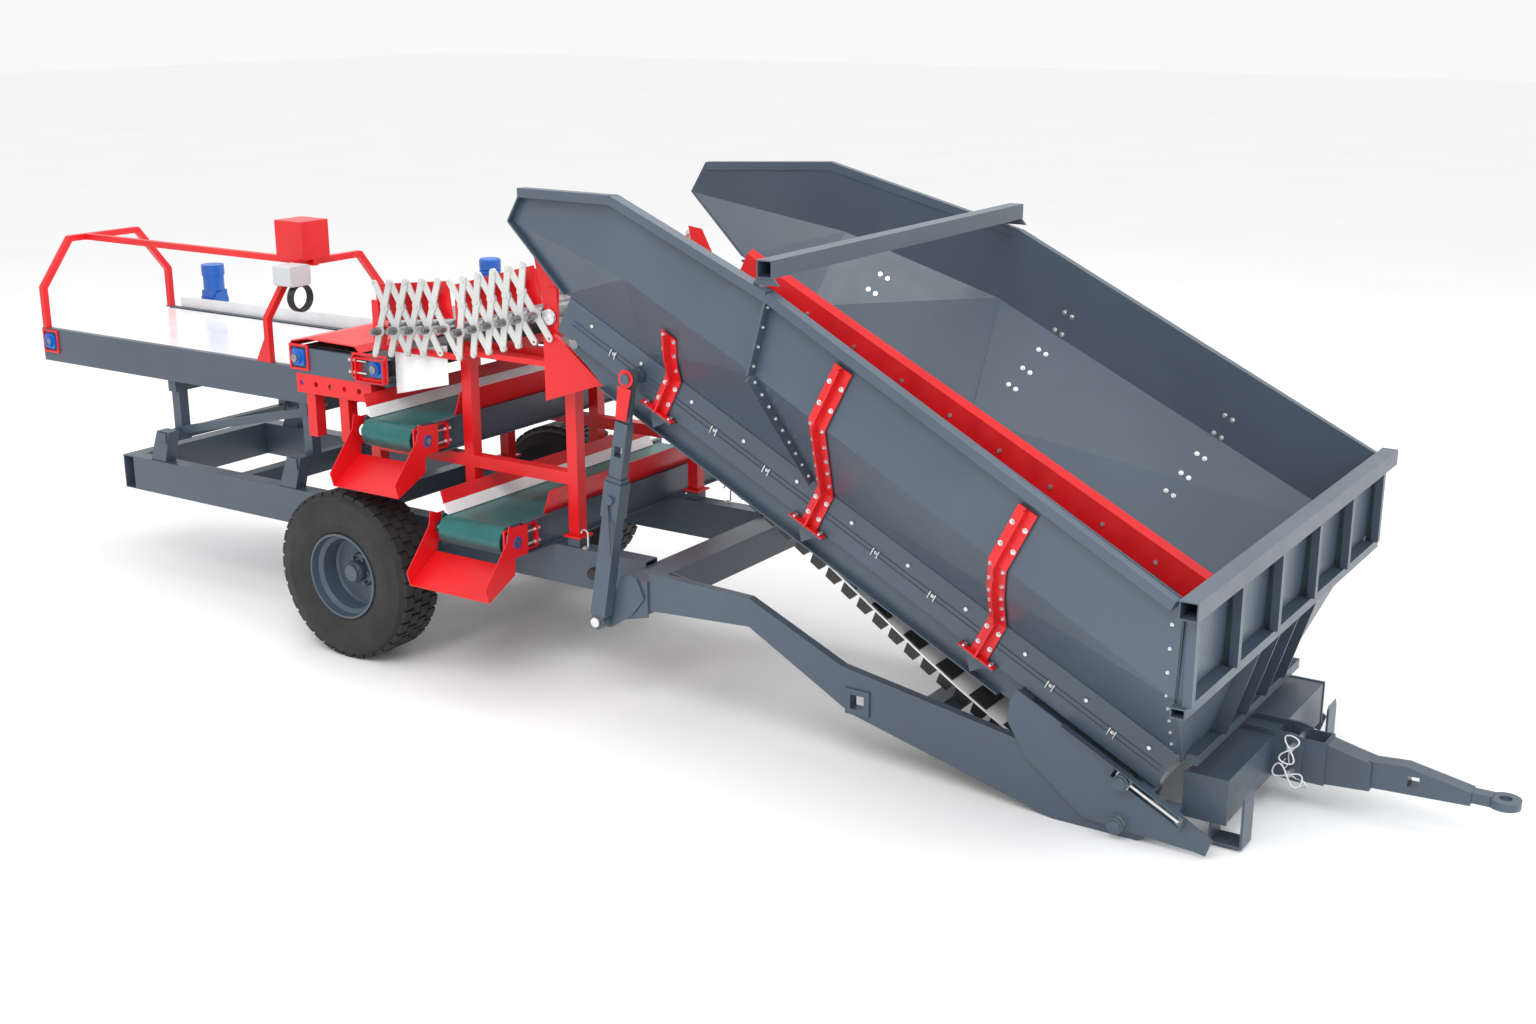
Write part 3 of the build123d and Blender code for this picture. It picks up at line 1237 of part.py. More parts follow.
upper = cross_parts(CROSS["upper"])
lower = cross_parts(CROSS["lower"])
frames = [upper["frame"], lower["frame"], upper["far_drum"], lower["far_drum"]]
node("cross_conveyor_frames", frames)
node("cross_conveyor_belts", [upper["belt"], lower["belt"]])
node("upper_cross_drum", upper["near_drum"])
node("lower_cross_drum", lower["near_drum"])


# ---- roller grader ----


def group_point(group, along, up):
    """A point of a roller group, along its row of shafts and square to it."""
    a = math.radians(group["angle"])
    x = group["x"] + along * math.cos(a) - up * math.sin(a)
    z = group["z"] + along * math.sin(a) + up * math.cos(a)
    return (x, z)


def link_height(group):
    """Height of a crossing pin over the row of shafts."""
    return math.sqrt(LINK_C ** 2 - (group["pitch"] / 2) ** 2)


def lazy_link(group, index, lean, side):
    """One bar: lower tip, shaft hole, crossing, upper tip. lean is +1 or -1."""
    pitch, h = group["pitch"], link_height(group)
    base = group["pitch"] * index
    stops = []
    for step in (-1, 0, 1, 2):
        stops.append(group_point(group, base + lean * step * pitch / 2, step * h))
    y0, y1 = LINK_OUTER if lean > 0 else LINK_INNER
    y0, y1 = side * y0, side * y1
    radii = (16, 27, 24, 17)
    body = None
    for (x, z), r in zip(stops, radii):
        disc = cyl_y(x, z, r, y0, y1)
        body = disc if body is None else body + disc
    for (p, q) in zip(stops, stops[1:]):
        a = (p[0], (y0 + y1) / 2, p[1])
        b = (q[0], (y0 + y1) / 2, q[1])
        body += bar(a, b, 34, LINK_T, up=(0, 1, 0))
    x, z = stops[1]
    body -= cyl_y(x, z, SHAFT_R + RUN_FIT, side * 600, side * 700)
    for k in (0, 2, 3):
        x, z = stops[k]
        if lean > 0:
            body += cyl_y(x, z, PIN_R, side * (LINK_Y - 4), side * (LINK_OUTER[1] + 4))
            body += cyl_y(x, z, 11, side * LINK_OUTER[1], side * (LINK_OUTER[1] + 5))
        else:
            body -= cyl_y(x, z, PIN_R + PIN_FIT, side * 600, side * 700)
    return body


def roller(group, index):
    """A grading roller with its through shaft and end nuts."""
    x, z = group_point(group, group["pitch"] * index, 0)
    body = drum_y(x, z, ROLLER_R, ROLLER_HALF, SHAFT_HALF, SHAFT_R)
    for side in (-1, 1):
        body += cyl_y(x, z, 19, side * (LINK_OUTER[1] + 8), side * (SHAFT_HALF - 12))
    return body


left_group, right_group = GROUPS["left"], GROUPS["right"]
for k in range(left_group["count"]):
    node("roller_%d" % (k + 1), roller(left_group, k))
for k in range(right_group["count"]):
    node("roller_%d" % (k + 6), roller(right_group, k))
for k in range(left_group["count"]):
    if k < left_group["count"] - 1:
        node("link_right_%d" % (k + 1), [lazy_link(left_group, k, 1, side) for side in (-1, 1)])
    if k > 0:
        node("link_left_%d" % (k + 1), [lazy_link(left_group, k, -1, side) for side in (-1, 1)])
fixed_links = []
for k in range(right_group["count"]):
    for side in (-1, 1):
        if k < right_group["count"] - 1:
            fixed_links.append(lazy_link(right_group, k, 1, side))
        if k > 0:
            fixed_links.append(lazy_link(right_group, k, -1, side))
node("grader_links_front", fixed_links)


def grader_frame():
    """Posts, beams, side plates, the transfer hood and the deflectors."""
    pieces = []
    post_y = CHASSIS_Y - CHASSIS_W / 2
    tops = (TRANSFER_Z0, 1560.0, 1600.0)
    for x, top in zip(GRADER_POSTS, tops):
        for side in (-1, 1):
            y = side * post_y
            pieces.append(box(x - 30, x + 30, y - 30, y + 30, POST_FOOT_Z, top))
            pieces.append(box(x - 50, x + 50, y - 50, y + 50, POST_FOOT_Z, POST_FOOT_Z + 10))
    for side in (-1, 1):
        y = side * post_y
        a, b = (GRADER_POSTS[0], y, 985), (GRADER_POSTS[2], y, 985)
        pieces.append(bar(a, b, 60, 60))
        a, b = (GRADER_POSTS[1], y, 1545), (GRADER_POSTS[2], y, 1570)
        pieces.append(bar(a, b, 50, 50))
        # side plates behind the links, one for each roller group
        for group, x_end in ((left_group, -34.0), (right_group, -20.0)):
            reach = group["pitch"] * (group["count"] - 1)
            outline = [
                group_point(group, x_end, 44), group_point(group, reach + 24, 44),
                group_point(group, reach + 24, 222), group_point(group, x_end, 222),
            ]
            pieces.append(plate_xz(outline, side * 600, side * 606))
        # uprights between the roller groups and at both ends
        for x0, x1, top in ((-22, 22, 1740), (523, 560, 1800), (1084, 1140, 1900)):
            pieces.append(box(x0, x1, side * 600, side * 612, 1500, top))
        pieces.append(box(-22, 500, side * 600, side * 612, 1500, 1530))
        pieces.append(box(500, 1140, side * 520, side * 612, 1530, 1556))
        x, z = group_point(left_group, 0, 0)
        eye = cyl_y(x, z, 26, side * 606, side * 620)
        arm = [(x - 80, z - 80), (x - 10, z - 90), (x + 20, z), (x - 60, z + 10)]
        arm = plate_xz(arm, side * 606, side * 612)
        bearing = (eye + arm) - cyl_y(x, z, SHAFT_R + RUN_FIT, side * 600, side * 640)
        pieces.append(bearing)
        # rounded end plate beside the elevator's head
        x, z = group_point(right_group, right_group["pitch"] * 5, 0)
        end = [(x + 20, z - 60), (x + 100, z - 60), (x + 110, z + 150)]
        end += [(x + 50, z + 260), (x - 30, z + 270), (x + 20, z + 40)]
        pieces.append(plate_xz(end, side * 600, side * 606))
    pieces.append(box(500, 560, -612, 612, 1500, 1530))
    pieces.append(box(1084, 1140, -612, 612, 1530, 1556))
    return join(pieces)


def transfer_hood():
    """Folded covers over the transfer belt and its red take-up carriers."""
    pieces = []
    high = TRANSFER_Z1 + 0.5
    hood = [
        (TRANSFER_X0 - 62, high), (TRANSFER_X0 - 62, high + 30), (TRANSFER_X0 + 60, high + 52),
        (TRANSFER_X1 - 150, high + 46), (TRANSFER_X1 - 120, high + 14),
        (TRANSFER_X1 - 126, high + 14), (TRANSFER_X1 - 154, high + 41), (TRANSFER_X0 + 60, high + 47),
        (TRANSFER_X0 - 57, high + 25), (TRANSFER_X0 - 57, high),
    ]
    pieces.append(plate_xz(hood, -TRANSFER_Y, TRANSFER_Y))
    for side in (-1, 1):
        y0, y1 = side * (TRANSFER_Y + 0.2), side * (TRANSFER_Y + 5)
        # open frame with two guide rods round the take-up bearing
        x0, x1, z0, z1 = TRANSFER_X1 - 130, TRANSFER_X1 + 58, TRANSFER_Z - 72, TRANSFER_Z + 47
        plate = box(x0, x1, y0, y1, z0, z1)
        plate -= box(x0 + 20, x1 - 14, side * 630, side * 650, TRANSFER_Z - 52, TRANSFER_Z + 42)
        for z in (z0, z1 - 5):
            plate += box(x0, x1, y0, side * (TRANSFER_Y + 30), z, z + 5)
        for x in (x0, x1 - 5):
            plate += box(x, x + 5, y0, side * (TRANSFER_Y + 30), z0, z1)
        pieces.append(plate)
        # stack of red brackets under the transfer conveyor
        low = TRANSFER_Z0
        for x in (TRANSFER_X0 + 10, TRANSFER_X0 + 240):
            pieces.append(box(x, x + 60, side * 560, side * 622, 1000, low - 0.5))
        rail = box(TRANSFER_X0 - 40, TRANSFER_X1 - 60, side * 622.5, side * 636, low - 100, low - 0.5)
        for k in range(5):
            x = TRANSFER_X0 - 4 + 100 * k
            rail -= cyl_y(x, low - 50, 14, side * 600, side * 660)
        pieces.append(rail)
    return pieces


node("grader_frame", grader_frame())
node("chutes_guards_and_hood", upper["guards"] + lower["guards"] + transfer_hood())


# ---- bought-in units ----
def flange_bearing(x, z, y, side, r=DRUM_SHAFT_R):
    """A square flange bearing on a plate that faces Y."""
    body = box(x - 42, x + 42, y, y + side * 14, z - 42, z + 42)
    body = fillet(body.edges().filter_by(Axis.Y), 14)
    body += cyl_y(x, z, 30, y, y + side * 30)
    return body - cyl_y(x, z, r + RUN_FIT, y - 40, y + 60)


def gear_motor(x, y, z):
    """A gearbox block with a finned motor standing on it."""
    block = cyl_x(y, z, 55, x - 60, x + 60) + box(x - 50, x + 50, y - 55, y + 55, z - 50, z + 60)
    motor = cyl_z(x, y, 62, z + 60, z + 200) + cyl_z(x, y, 68, z + 150, z + 215)
    return block + motor


fixed_units = []
for side in (-1, 1):
    for x, z in (table_a, table_b):
        fixed_units.append(flange_bearing(x, z, side * (TABLE_Y + 0.2), side))
    for x, z in (transfer_a, transfer_b):
        fixed_units.append(flange_bearing(x, z, side * (TRANSFER_Y + 0.2), side))
for part, data in ((upper, CROSS["upper"]), (lower, CROSS["lower"])):
    face = data["x1"] + CROSS_GAP + CROSS_WEB + 0.2
    unit = flange_bearing(data["near"], part["z"], face, 1, CROSS_SHAFT_R)
    fixed_units.append(turn_to_y * unit)
fixed_units.append(gear_motor(TABLE_X0 + 310, TABLE_Y + 90, 1350))
node("bearings_and_motors", fixed_units)
node("white_skirts", [upper["skirt"], lower["skirt"]])


# ---- write every sub-part with the tow eye's centre as origin ----
shift = Pos(-EYE_X, 0, -EYE_Z)
for name, pieces in NODES.items():
    moved = [shift * piece for piece in pieces]
    solids = []
    for piece in moved:
        solids.extend(piece.solids())
    export_step(Compound(children=[Part(solid.wrapped) for solid in solids]), "parts/%s.step" % name)
    print(name, len(solids))
print("nodes", len(NODES))
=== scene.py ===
import json
import math

import bmesh
import bpy
from mathutils import Matrix, Vector


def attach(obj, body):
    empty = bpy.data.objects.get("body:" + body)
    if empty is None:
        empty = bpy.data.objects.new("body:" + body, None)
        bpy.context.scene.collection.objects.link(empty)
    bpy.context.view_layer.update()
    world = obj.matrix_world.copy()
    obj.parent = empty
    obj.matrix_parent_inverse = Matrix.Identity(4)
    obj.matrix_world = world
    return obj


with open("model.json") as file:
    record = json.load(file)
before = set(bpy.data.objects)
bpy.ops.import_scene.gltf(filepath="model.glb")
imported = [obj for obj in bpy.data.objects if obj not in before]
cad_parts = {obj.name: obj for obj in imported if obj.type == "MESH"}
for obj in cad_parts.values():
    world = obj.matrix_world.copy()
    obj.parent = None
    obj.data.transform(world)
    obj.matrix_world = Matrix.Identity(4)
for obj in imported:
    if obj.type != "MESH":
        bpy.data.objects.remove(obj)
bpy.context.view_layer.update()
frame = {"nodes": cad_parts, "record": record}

# The CAD's own frame: metres, the tow eye's centre at the origin. AXLE_X and
# GROUND_Z turn lengths counted from the axle and heights from the ground into it.
AXLE_X = -5.26
GROUND_Z = -0.19
SLOPE = math.radians(27.2)
GAP_X, GAP_Z = 4.148, 0.218


def at(x, y, z):
    """A point given from the axle and the ground, in the CAD frame."""
    return Vector((x + AXLE_X, y, z + GROUND_Z))


def slope(s, n, y=0.0):
    """A point along (s) and square to (n) the elevator's incline."""
    x = GAP_X - s * math.cos(SLOPE) + n * math.sin(SLOPE)
    z = GAP_Z + s * math.sin(SLOPE) + n * math.cos(SLOPE)
    return at(x, y, z)


# ---- materials ----
class Nodes:
    """A small wrapper that adds and links shader nodes."""

    def __init__(self, name):
        self.material = bpy.data.materials.new(name)
        self.material.use_nodes = True
        self.tree = self.material.node_tree
        self.shader = self.tree.nodes["Principled BSDF"]
        self.coords = self.add("ShaderNodeTexCoord")

    def add(self, kind, **values):
        made = self.tree.nodes.new(kind)
        for key, value in values.items():
            setattr(made, key, value)
        return made

    def link(self, source, target):
        self.tree.links.new(source, target)

    def noise(self, scale, detail=4.0, rough=0.55, stretch=None):
        made = self.add("ShaderNodeTexNoise")
        made.inputs["Scale"].default_value = scale
        made.inputs["Detail"].default_value = detail
        made.inputs["Roughness"].default_value = rough
        source = self.coords.outputs["Object"]
        if stretch:
            mapping = self.add("ShaderNodeMapping")
            mapping.inputs["Scale"].default_value = stretch
            self.link(source, mapping.inputs["Vector"])
            source = mapping.outputs["Vector"]
        self.link(source, made.inputs["Vector"])
        return made.outputs["Fac"]

    def ramp(self, factor, stops):
        made = self.add("ShaderNodeValToRGB")
        ramp = made.color_ramp
        while len(ramp.elements) < len(stops):
            ramp.elements.new(0.5)
        for element, (place, colour) in zip(ramp.elements, stops):
            element.position = place
            element.color = (*colour, 1.0) if len(colour) == 3 else colour
        self.link(factor, made.inputs["Fac"])
        return made.outputs["Color"]

    def spread(self, factor, low, high):
        made = self.add("ShaderNodeMapRange")
        made.inputs["To Min"].default_value = low
        made.inputs["To Max"].default_value = high
        self.link(factor, made.inputs["Value"])
        return made.outputs["Result"]

    def bump(self, height, strength, distance):
        made = self.add("ShaderNodeBump")
        made.inputs["Strength"].default_value = strength
        made.inputs["Distance"].default_value = distance
        self.link(height, made.inputs["Height"])
        self.link(made.outputs["Normal"], self.shader.inputs["Normal"])

    def set(self, **values):
        for key, value in values.items():
            self.shader.inputs[key.replace("_", " ")].default_value = value


def paint(name, dark, light, rough_low, rough_high, coat=0.0, metallic=0.0):
    """Sprayed paint: slow tone drift, faint dust, orange peel."""
    made = Nodes(name)
    drift = made.noise(1.3, 3.0)
    tone = made.ramp(drift, [(0.32, dark), (0.70, light)])
    made.link(tone, made.shader.inputs["Base Color"])
    dust = made.noise(9.0, 6.0, 0.65)
    made.link(made.spread(dust, rough_low, rough_high), made.shader.inputs["Roughness"])
    made.bump(made.noise(220.0, 2.0), 0.05, 0.0008)
    made.set(Metallic=metallic, Coat_Weight=coat, Coat_Roughness=0.18)
    return made.material


SLATE = paint("slate_paint", (0.050, 0.074, 0.104), (0.064, 0.092, 0.126), 0.30, 0.48, 0.1)
RED = paint("red_paint", (0.62, 0.003, 0.006), (0.76, 0.006, 0.010), 0.30, 0.46, 0.1)
LINK_GREY = paint("link_grey", (0.50, 0.52, 0.51), (0.66, 0.68, 0.66), 0.34, 0.5, 0.0, 0.1)
BLUE = paint("blue_paint", (0.004, 0.09, 0.42), (0.010, 0.14, 0.56), 0.3, 0.46, 0.1)
GREY_BOX = paint("grey_plastic", (0.50, 0.52, 0.55), (0.62, 0.64, 0.67), 0.42, 0.55)
BLACK_PAINT = paint("black_rubber", (0.010, 0.010, 0.011), (0.022, 0.022, 0.024), 0.32, 0.5)


def steel(name, dark, light):
    """Turned steel: fine lines, patchy shine."""
    made = Nodes(name)
    tone = made.ramp(made.noise(30.0, 5.0), [(0.3, dark), (0.7, light)])
    made.link(tone, made.shader.inputs["Base Color"])
    lines = made.noise(90.0, 3.0, 0.6, (1.0, 14.0, 1.0))
    made.link(made.spread(lines, 0.22, 0.46), made.shader.inputs["Roughness"])
    made.bump(lines, 0.08, 0.0006)
    made.set(Metallic=0.9)
    return made.material


ZINC = steel("zinc_steel", (0.62, 0.63, 0.64), (0.80, 0.81, 0.82))
DRUM = steel("roller_steel", (0.20, 0.21, 0.22), (0.36, 0.37, 0.38))


def rubber(name, dark, light, grain, low, high):
    """Moulded rubber or a woven belt cover."""
    made = Nodes(name)
    tone = made.ramp(made.noise(6.0, 5.0), [(0.3, dark), (0.72, light)])
    made.link(tone, made.shader.inputs["Base Color"])
    made.link(made.spread(made.noise(18.0, 4.0), low, high), made.shader.inputs["Roughness"])
    made.bump(made.noise(grain, 3.0, 0.6), 0.12, 0.0012)
    return made.material


TYRE = rubber("tyre_rubber", (0.011, 0.011, 0.012), (0.024, 0.024, 0.025), 160.0, 0.62, 0.82)
GREEN = rubber("green_belt", (0.004, 0.085, 0.085), (0.010, 0.14, 0.135), 300.0, 0.24, 0.38)
WHITE = rubber("white_belt", (0.74, 0.75, 0.77), (0.86, 0.87, 0.88), 260.0, 0.12, 0.24)
DARK_BELT = rubber("black_belt", (0.016, 0.016, 0.017), (0.032, 0.032, 0.034), 260.0, 0.4, 0.6)
RED_STRIP = rubber("red_strip", (0.62, 0.003, 0.006), (0.76, 0.006, 0.010), 240.0, 0.38, 0.55)

SLOTS = {
    "slate_paint": SLATE, "red_paint": RED, "grey_links": LINK_GREY, "blue_paint": BLUE,
    "zinc_steel": ZINC, "roller_steel": DRUM, "tyre_rubber": TYRE, "black_rubber": BLACK_PAINT,
    "black_belt": DARK_BELT, "green_belt": GREEN, "white_belt": WHITE, "red_strip": RED_STRIP,
    "grey_plastic": GREY_BOX,
}
slot_of = {part["node"]: part["material_slot"] for part in frame["record"]["subparts"]}
for name, thing in frame["nodes"].items():
    thing.data.materials.clear()
    thing.data.materials.append(SLOTS[slot_of[name]])


# ---- small modelling tools ----
def turned(mesh, place, axis, rings, sides=24):
    """A closed solid through rings given as (distance along the axis, radius)."""
    turn = axis.normalized().to_track_quat("Z", "Y").to_matrix()
    loops = []
    for along, radius in rings:
        loop = []
        for k in range(sides):
            a = 2 * math.pi * k / sides
            corner = Vector((radius * math.cos(a), radius * math.sin(a), along))
            loop.append(mesh.verts.new(place + turn @ corner))
        loops.append(loop)
    for low, high in zip(loops, loops[1:]):
        for k in range(sides):
            j = (k + 1) % sides
            mesh.faces.new((low[k], low[j], high[j], high[k]))
    mesh.faces.new(list(reversed(loops[0])))
    mesh.faces.new(loops[-1])


def bolt(mesh, place, normal, radius=0.009, height=0.008):
    """A chamfered hexagon head on its washer."""
    washer = [(-0.001, 1.6 * radius), (0.0016, 1.6 * radius), (0.0022, 1.5 * radius)]
    turned(mesh, place, normal, washer, 16)
    head = [(0.0023, radius), (height - 0.0015, radius), (height, 0.82 * radius)]
    turned(mesh, place, normal, head, 6)


def plate(mesh, corners, offset):
    """A flat plate: its outline in order, thickened by an offset."""
    low = [mesh.verts.new(c) for c in corners]
    high = [mesh.verts.new(c + offset) for c in corners]
    count = len(corners)
    mesh.faces.new(list(reversed(low)))
    mesh.faces.new(high)
    for k in range(count):
        j = (k + 1) % count
        mesh.faces.new((low[k], low[j], high[j], high[k]))


def window(mesh, outer, inner, offset):
    """A plate with an opening: two outlines with the same number of corners."""
    count = len(outer)
    rows = []
    for outline in (outer, inner):
        rows.append([mesh.verts.new(c) for c in outline])
        rows.append([mesh.verts.new(c + offset) for c in outline])
    outer_low, outer_high, inner_low, inner_high = rows
    for k in range(count):
        j = (k + 1) % count
        mesh.faces.new((outer_low[k], outer_low[j], outer_high[j], outer_high[k]))
        mesh.faces.new((inner_low[j], inner_low[k], inner_high[k], inner_high[j]))
        mesh.faces.new((outer_low[j], outer_low[k], inner_low[k], inner_low[j]))
        mesh.faces.new((outer_high[k], outer_high[j], inner_high[j], inner_high[k]))


def tube(mesh, points, radius, sides=10):
    """A round bar bent along points."""
    loops = []
    for k, point in enumerate(points):
        before, after = points[max(k - 1, 0)], points[min(k + 1, len(points) - 1)]
        turn = (after - before).normalized().to_track_quat("Z", "Y").to_matrix()
        loop = []
        for i in range(sides):
            a = 2 * math.pi * i / sides
            corner = Vector((radius * math.cos(a), radius * math.sin(a), 0))
            loop.append(mesh.verts.new(point + turn @ corner))
        loops.append(loop)
    for low, high in zip(loops, loops[1:]):
        # the ring above starts at the corner nearest to this ring's first one
        start = min(range(sides), key=lambda i: (high[i].co - low[0].co).length)
        high[:] = high[start:] + high[:start]
        for k in range(sides):
            j = (k + 1) % sides
            mesh.faces.new((low[k], low[j], high[j], high[k]))
    mesh.faces.new(list(reversed(loops[0])))
    mesh.faces.new(loops[-1])


def piece(name, mesh, material, body, bevel=0.0):
    """Turns a filled bmesh into an object that rides on a body."""
    bmesh.ops.recalc_face_normals(mesh, faces=mesh.faces[:])
    data = bpy.data.meshes.new(name)
    mesh.to_mesh(data)
    mesh.free()
    data.materials.append(material)
    thing = bpy.data.objects.new(name, data)
    bpy.context.scene.collection.objects.link(thing)
    if bevel:
        edge = thing.modifiers.new("bevel", "BEVEL")
        edge.width = bevel
        edge.segments = 2
        edge.limit_method = "ANGLE"
    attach(thing, body)
    return thing


def touch(node, start, direction, reach=1.2):
    """Where a ray first meets a node: the point and the outward normal."""
    thing = frame["nodes"][node]
    inverse = thing.matrix_world.inverted()
    there = (inverse.to_3x3() @ direction).normalized()
    hit, place, normal, _ = thing.ray_cast(inverse @ start, there, distance=reach)
    if not hit:
        return None
    out = (thing.matrix_world.to_3x3() @ normal).normalized()
    if out.dot(direction) > 0:
        out = -out
    return thing.matrix_world @ place, out


def bolts_on(mesh, node, starts, direction, radius=0.009):
    """A bolt wherever a ray from each start meets the node."""
    for start in starts:
        found = touch(node, start, direction)
        if found:
            bolt(mesh, *found, radius)


UP = Vector((0, 0, 1))
ALONG = Vector((-math.cos(SLOPE), 0, math.sin(SLOPE)))
SIDES = (("right", -1), ("left", 1))
BRACKETS = (0.900, 1.804, 2.665)


# ---- receiving unit: bolts, take-ups and clips ----
def receiver_bolts(side):
    """The bolts of one side wall: brackets, seam, front column and channel."""
    mesh = bmesh.new()
    inward = Vector((0, -side, 0))
    for s in BRACKETS:
        top = 0.43 if s == BRACKETS[-1] else 0.86
        rows = [n for n in (0.05, 0.13, 0.24, 0.33, 0.41, 0.50, 0.60, 0.70, 0.80) if n < top]
        for n in rows:
            starts = [slope(s + step, n, side * 1.5) for step in (-0.029, 0.029)]
            bolts_on(mesh, "hopper_brackets", starts, inward, 0.0068)
            if n in (0.33, 0.41, 0.50, 0.60, 0.70):
                starts = [slope(s + step, n + 0.03, side * 0.3) for step in (-0.021, 0.021)]
                bolts_on(mesh, "hopper_walls", starts, -inward, 0.0075)
    # bolts through the seam flange
    corners = [at(2.600, side * 1.103, 2.062), at(2.510, side * 1.103, 1.745)]
    corners.append(slope(1.875, 0.182, side * 0.726))
    for a, b in zip(corners, corners[1:]):
        steps = 4 if a is corners[0] else 9
        for k in range(steps):
            spot = a.lerp(b, (k + 0.5) / steps)
            bolts_on(mesh, "hopper_walls", [spot - ALONG * 0.12], ALONG, 0.005)
    # column beside the front wall
    for k in range(8):
        z = 0.46 + 0.09 * k
        x = 4.2018 + 0.326 * (z - 0.388) if z < 0.815 else 4.341 + 0.037 * (z - 0.815)
        starts = [at(x - 0.035, side * 1.5, z)]
        bolts_on(mesh, "hopper_walls", starts, inward, 0.0045)
    # clamps across the channel's two ribs
    for k in range(10):
        s = 0.29 + 0.3 * k
        for step in (-0.014, 0.014):
            a, b = slope(s + step, 0.062, side * 0.7065), slope(s + step, 0.097, side * 0.7065)
            tube(mesh, [a, a.lerp(b, 0.5) + Vector((0, side * 0.002, 0)), b], 0.0030, 8)
        bolts_on(mesh, "hopper_walls", [slope(s, 0.080, side * 0.9)], inward, 0.005)
    return mesh


def tail_parts(side):
    """Cover angle over the take-up slot, shaft cap and screw bracket."""
    mesh = bmesh.new()
    out = Vector((0, side * 0.006, 0))
    face = side * 0.7342
    cover = [slope(-0.11, -0.017, face), slope(0.46, -0.017, face)]
    cover += [slope(0.46, -0.004, face), slope(-0.11, -0.004, face)]
    plate(mesh, cover, out)
    leg = [slope(-0.11, -0.004, face), slope(0.46, -0.004, face)]
    leg += [slope(0.46, 0.001, face), slope(-0.11, 0.001, face)]
    plate(mesh, leg, Vector((0, side * 0.034, 0)))
    tip = [slope(-0.132, -0.064, face), slope(-0.124, -0.064, face)]
    tip += [slope(-0.124, -0.016, face), slope(-0.132, -0.016, face)]
    plate(mesh, tip, Vector((0, side * 0.030, 0)))
    rings = [(0.0, 0.034), (0.010, 0.034), (0.013, 0.029), (0.022, 0.027), (0.026, 0.020)]
    turned(mesh, slope(0.15, -0.04, side * 0.7608), Vector((0, side, 0)), rings, 32)
    for s in (0.05, 0.30, 0.43):
        bolt(mesh, slope(s, -0.0105, face + side * 0.006), Vector((0, side, 0)), 0.006)
    return mesh


for word, side in SIDES:
    piece("wall_bolts_" + word, receiver_bolts(side), ZINC, "receiver")
    piece("tail_cover_" + word, tail_parts(side), SLATE, "receiver", 0.0012)


def belt_blocks(side):
    """Black drive blocks on the inner face of the belt's lower run."""
    mesh = bmesh.new()
    square = Vector((math.sin(SLOPE), 0, math.cos(SLOPE)))
    for k in range(8):
        corners = []
        for s in (0.60 + 0.186 * k, 0.693 + 0.186 * k):
            found = touch("elevator_belt", slope(s, 0.0, side * 0.5), -square)
            if found:
                corners.append(found[0] + square * 0.0004)
        if len(corners) == 2:
            near, far = Vector((0, side * 0.086, 0)), Vector((0, -side * 0.20, 0))
            a, b = corners
            plate(mesh, [a + near, b + near, b + far, a + far], square * 0.007)
    return mesh


for word, side in SIDES:
    piece("belt_blocks_" + word, belt_blocks(side), BLACK_PAINT, "receiver", 0.0015)
    mesh = bmesh.new()
    rings = [(0.0, 0.035), (0.006, 0.035), (0.009, 0.030), (0.017, 0.026), (0.020, 0.018)]
    turned(mesh, at(3.981, side * 0.7575, 0.062), Vector((0, side, 0)), rings, 32)
    piece("tilt_pin_cap_" + word, mesh, SLATE, "chassis")


# ---- belt take-ups: a red frame with two screws beside each bearing ----
def take_up(name, centre, along, up, out, body, screws=True):
    """A windowed plate round a bearing, with adjusting screws towards its far end."""
    mesh = bmesh.new()

    def spot(a, b, lift=0.0):
        return centre + along * a + up * b + out * lift

    far = 0.165 if screws else 0.066
    outer = [spot(-0.066, -0.066), spot(far, -0.066), spot(far, 0.066), spot(-0.066, 0.066)]
    near, end = -0.054, far - 0.012
    inner = [spot(near, -0.054), spot(end, -0.054), spot(end, 0.054), spot(near, 0.054)]
    window(mesh, outer, inner, out * 0.010)
    if screws:
        low, high = far - 0.020, far - 0.013
        stop = [spot(low, -0.05), spot(high, -0.05), spot(high, 0.05), spot(low, 0.05)]
        plate(mesh, stop, out * 0.030)
    piece(name + "_frame", mesh, RED, body, 0.0012)
    if screws:
        mesh = bmesh.new()
        for b in (-0.030, 0.030):
            tube(mesh, [spot(0.058, b, 0.018), spot(0.10, b, 0.018), spot(far + 0.012, b, 0.018)], 0.0055, 12)
            turned(mesh, spot(far - 0.030, b, 0.018), along, [(0, 0.010), (0.008, 0.010)], 6)
            turned(mesh, spot(far + 0.001, b, 0.018), along, [(0, 0.010), (0.008, 0.010)], 6)
        piece(name + "_screws", mesh, ZINC, body)


X, Y = Vector((1, 0, 0)), Vector((0, 1, 0))
take_up("upper_cross_take_up", at(0.3963, -0.745, 1.122), Y, UP, X, "chassis")
take_up("lower_cross_take_up", at(0.9963, -0.815, 0.735), Y, UP, X, "chassis")
for word, side in SIDES:
    out = Vector((0, side, 0))
    take_up("transfer_take_up_" + word, at(0.025, side * 0.6403, 1.410), -X, UP, out, "chassis")
    for end, x, y, z in (("transfer", -0.516, 0.6403, 1.410), ("table_tail", -2.762, 0.4603, 1.228)):
        take_up(end + "_bearing_plate_" + word, at(x, side * y, z), X, UP, out, "chassis", False)


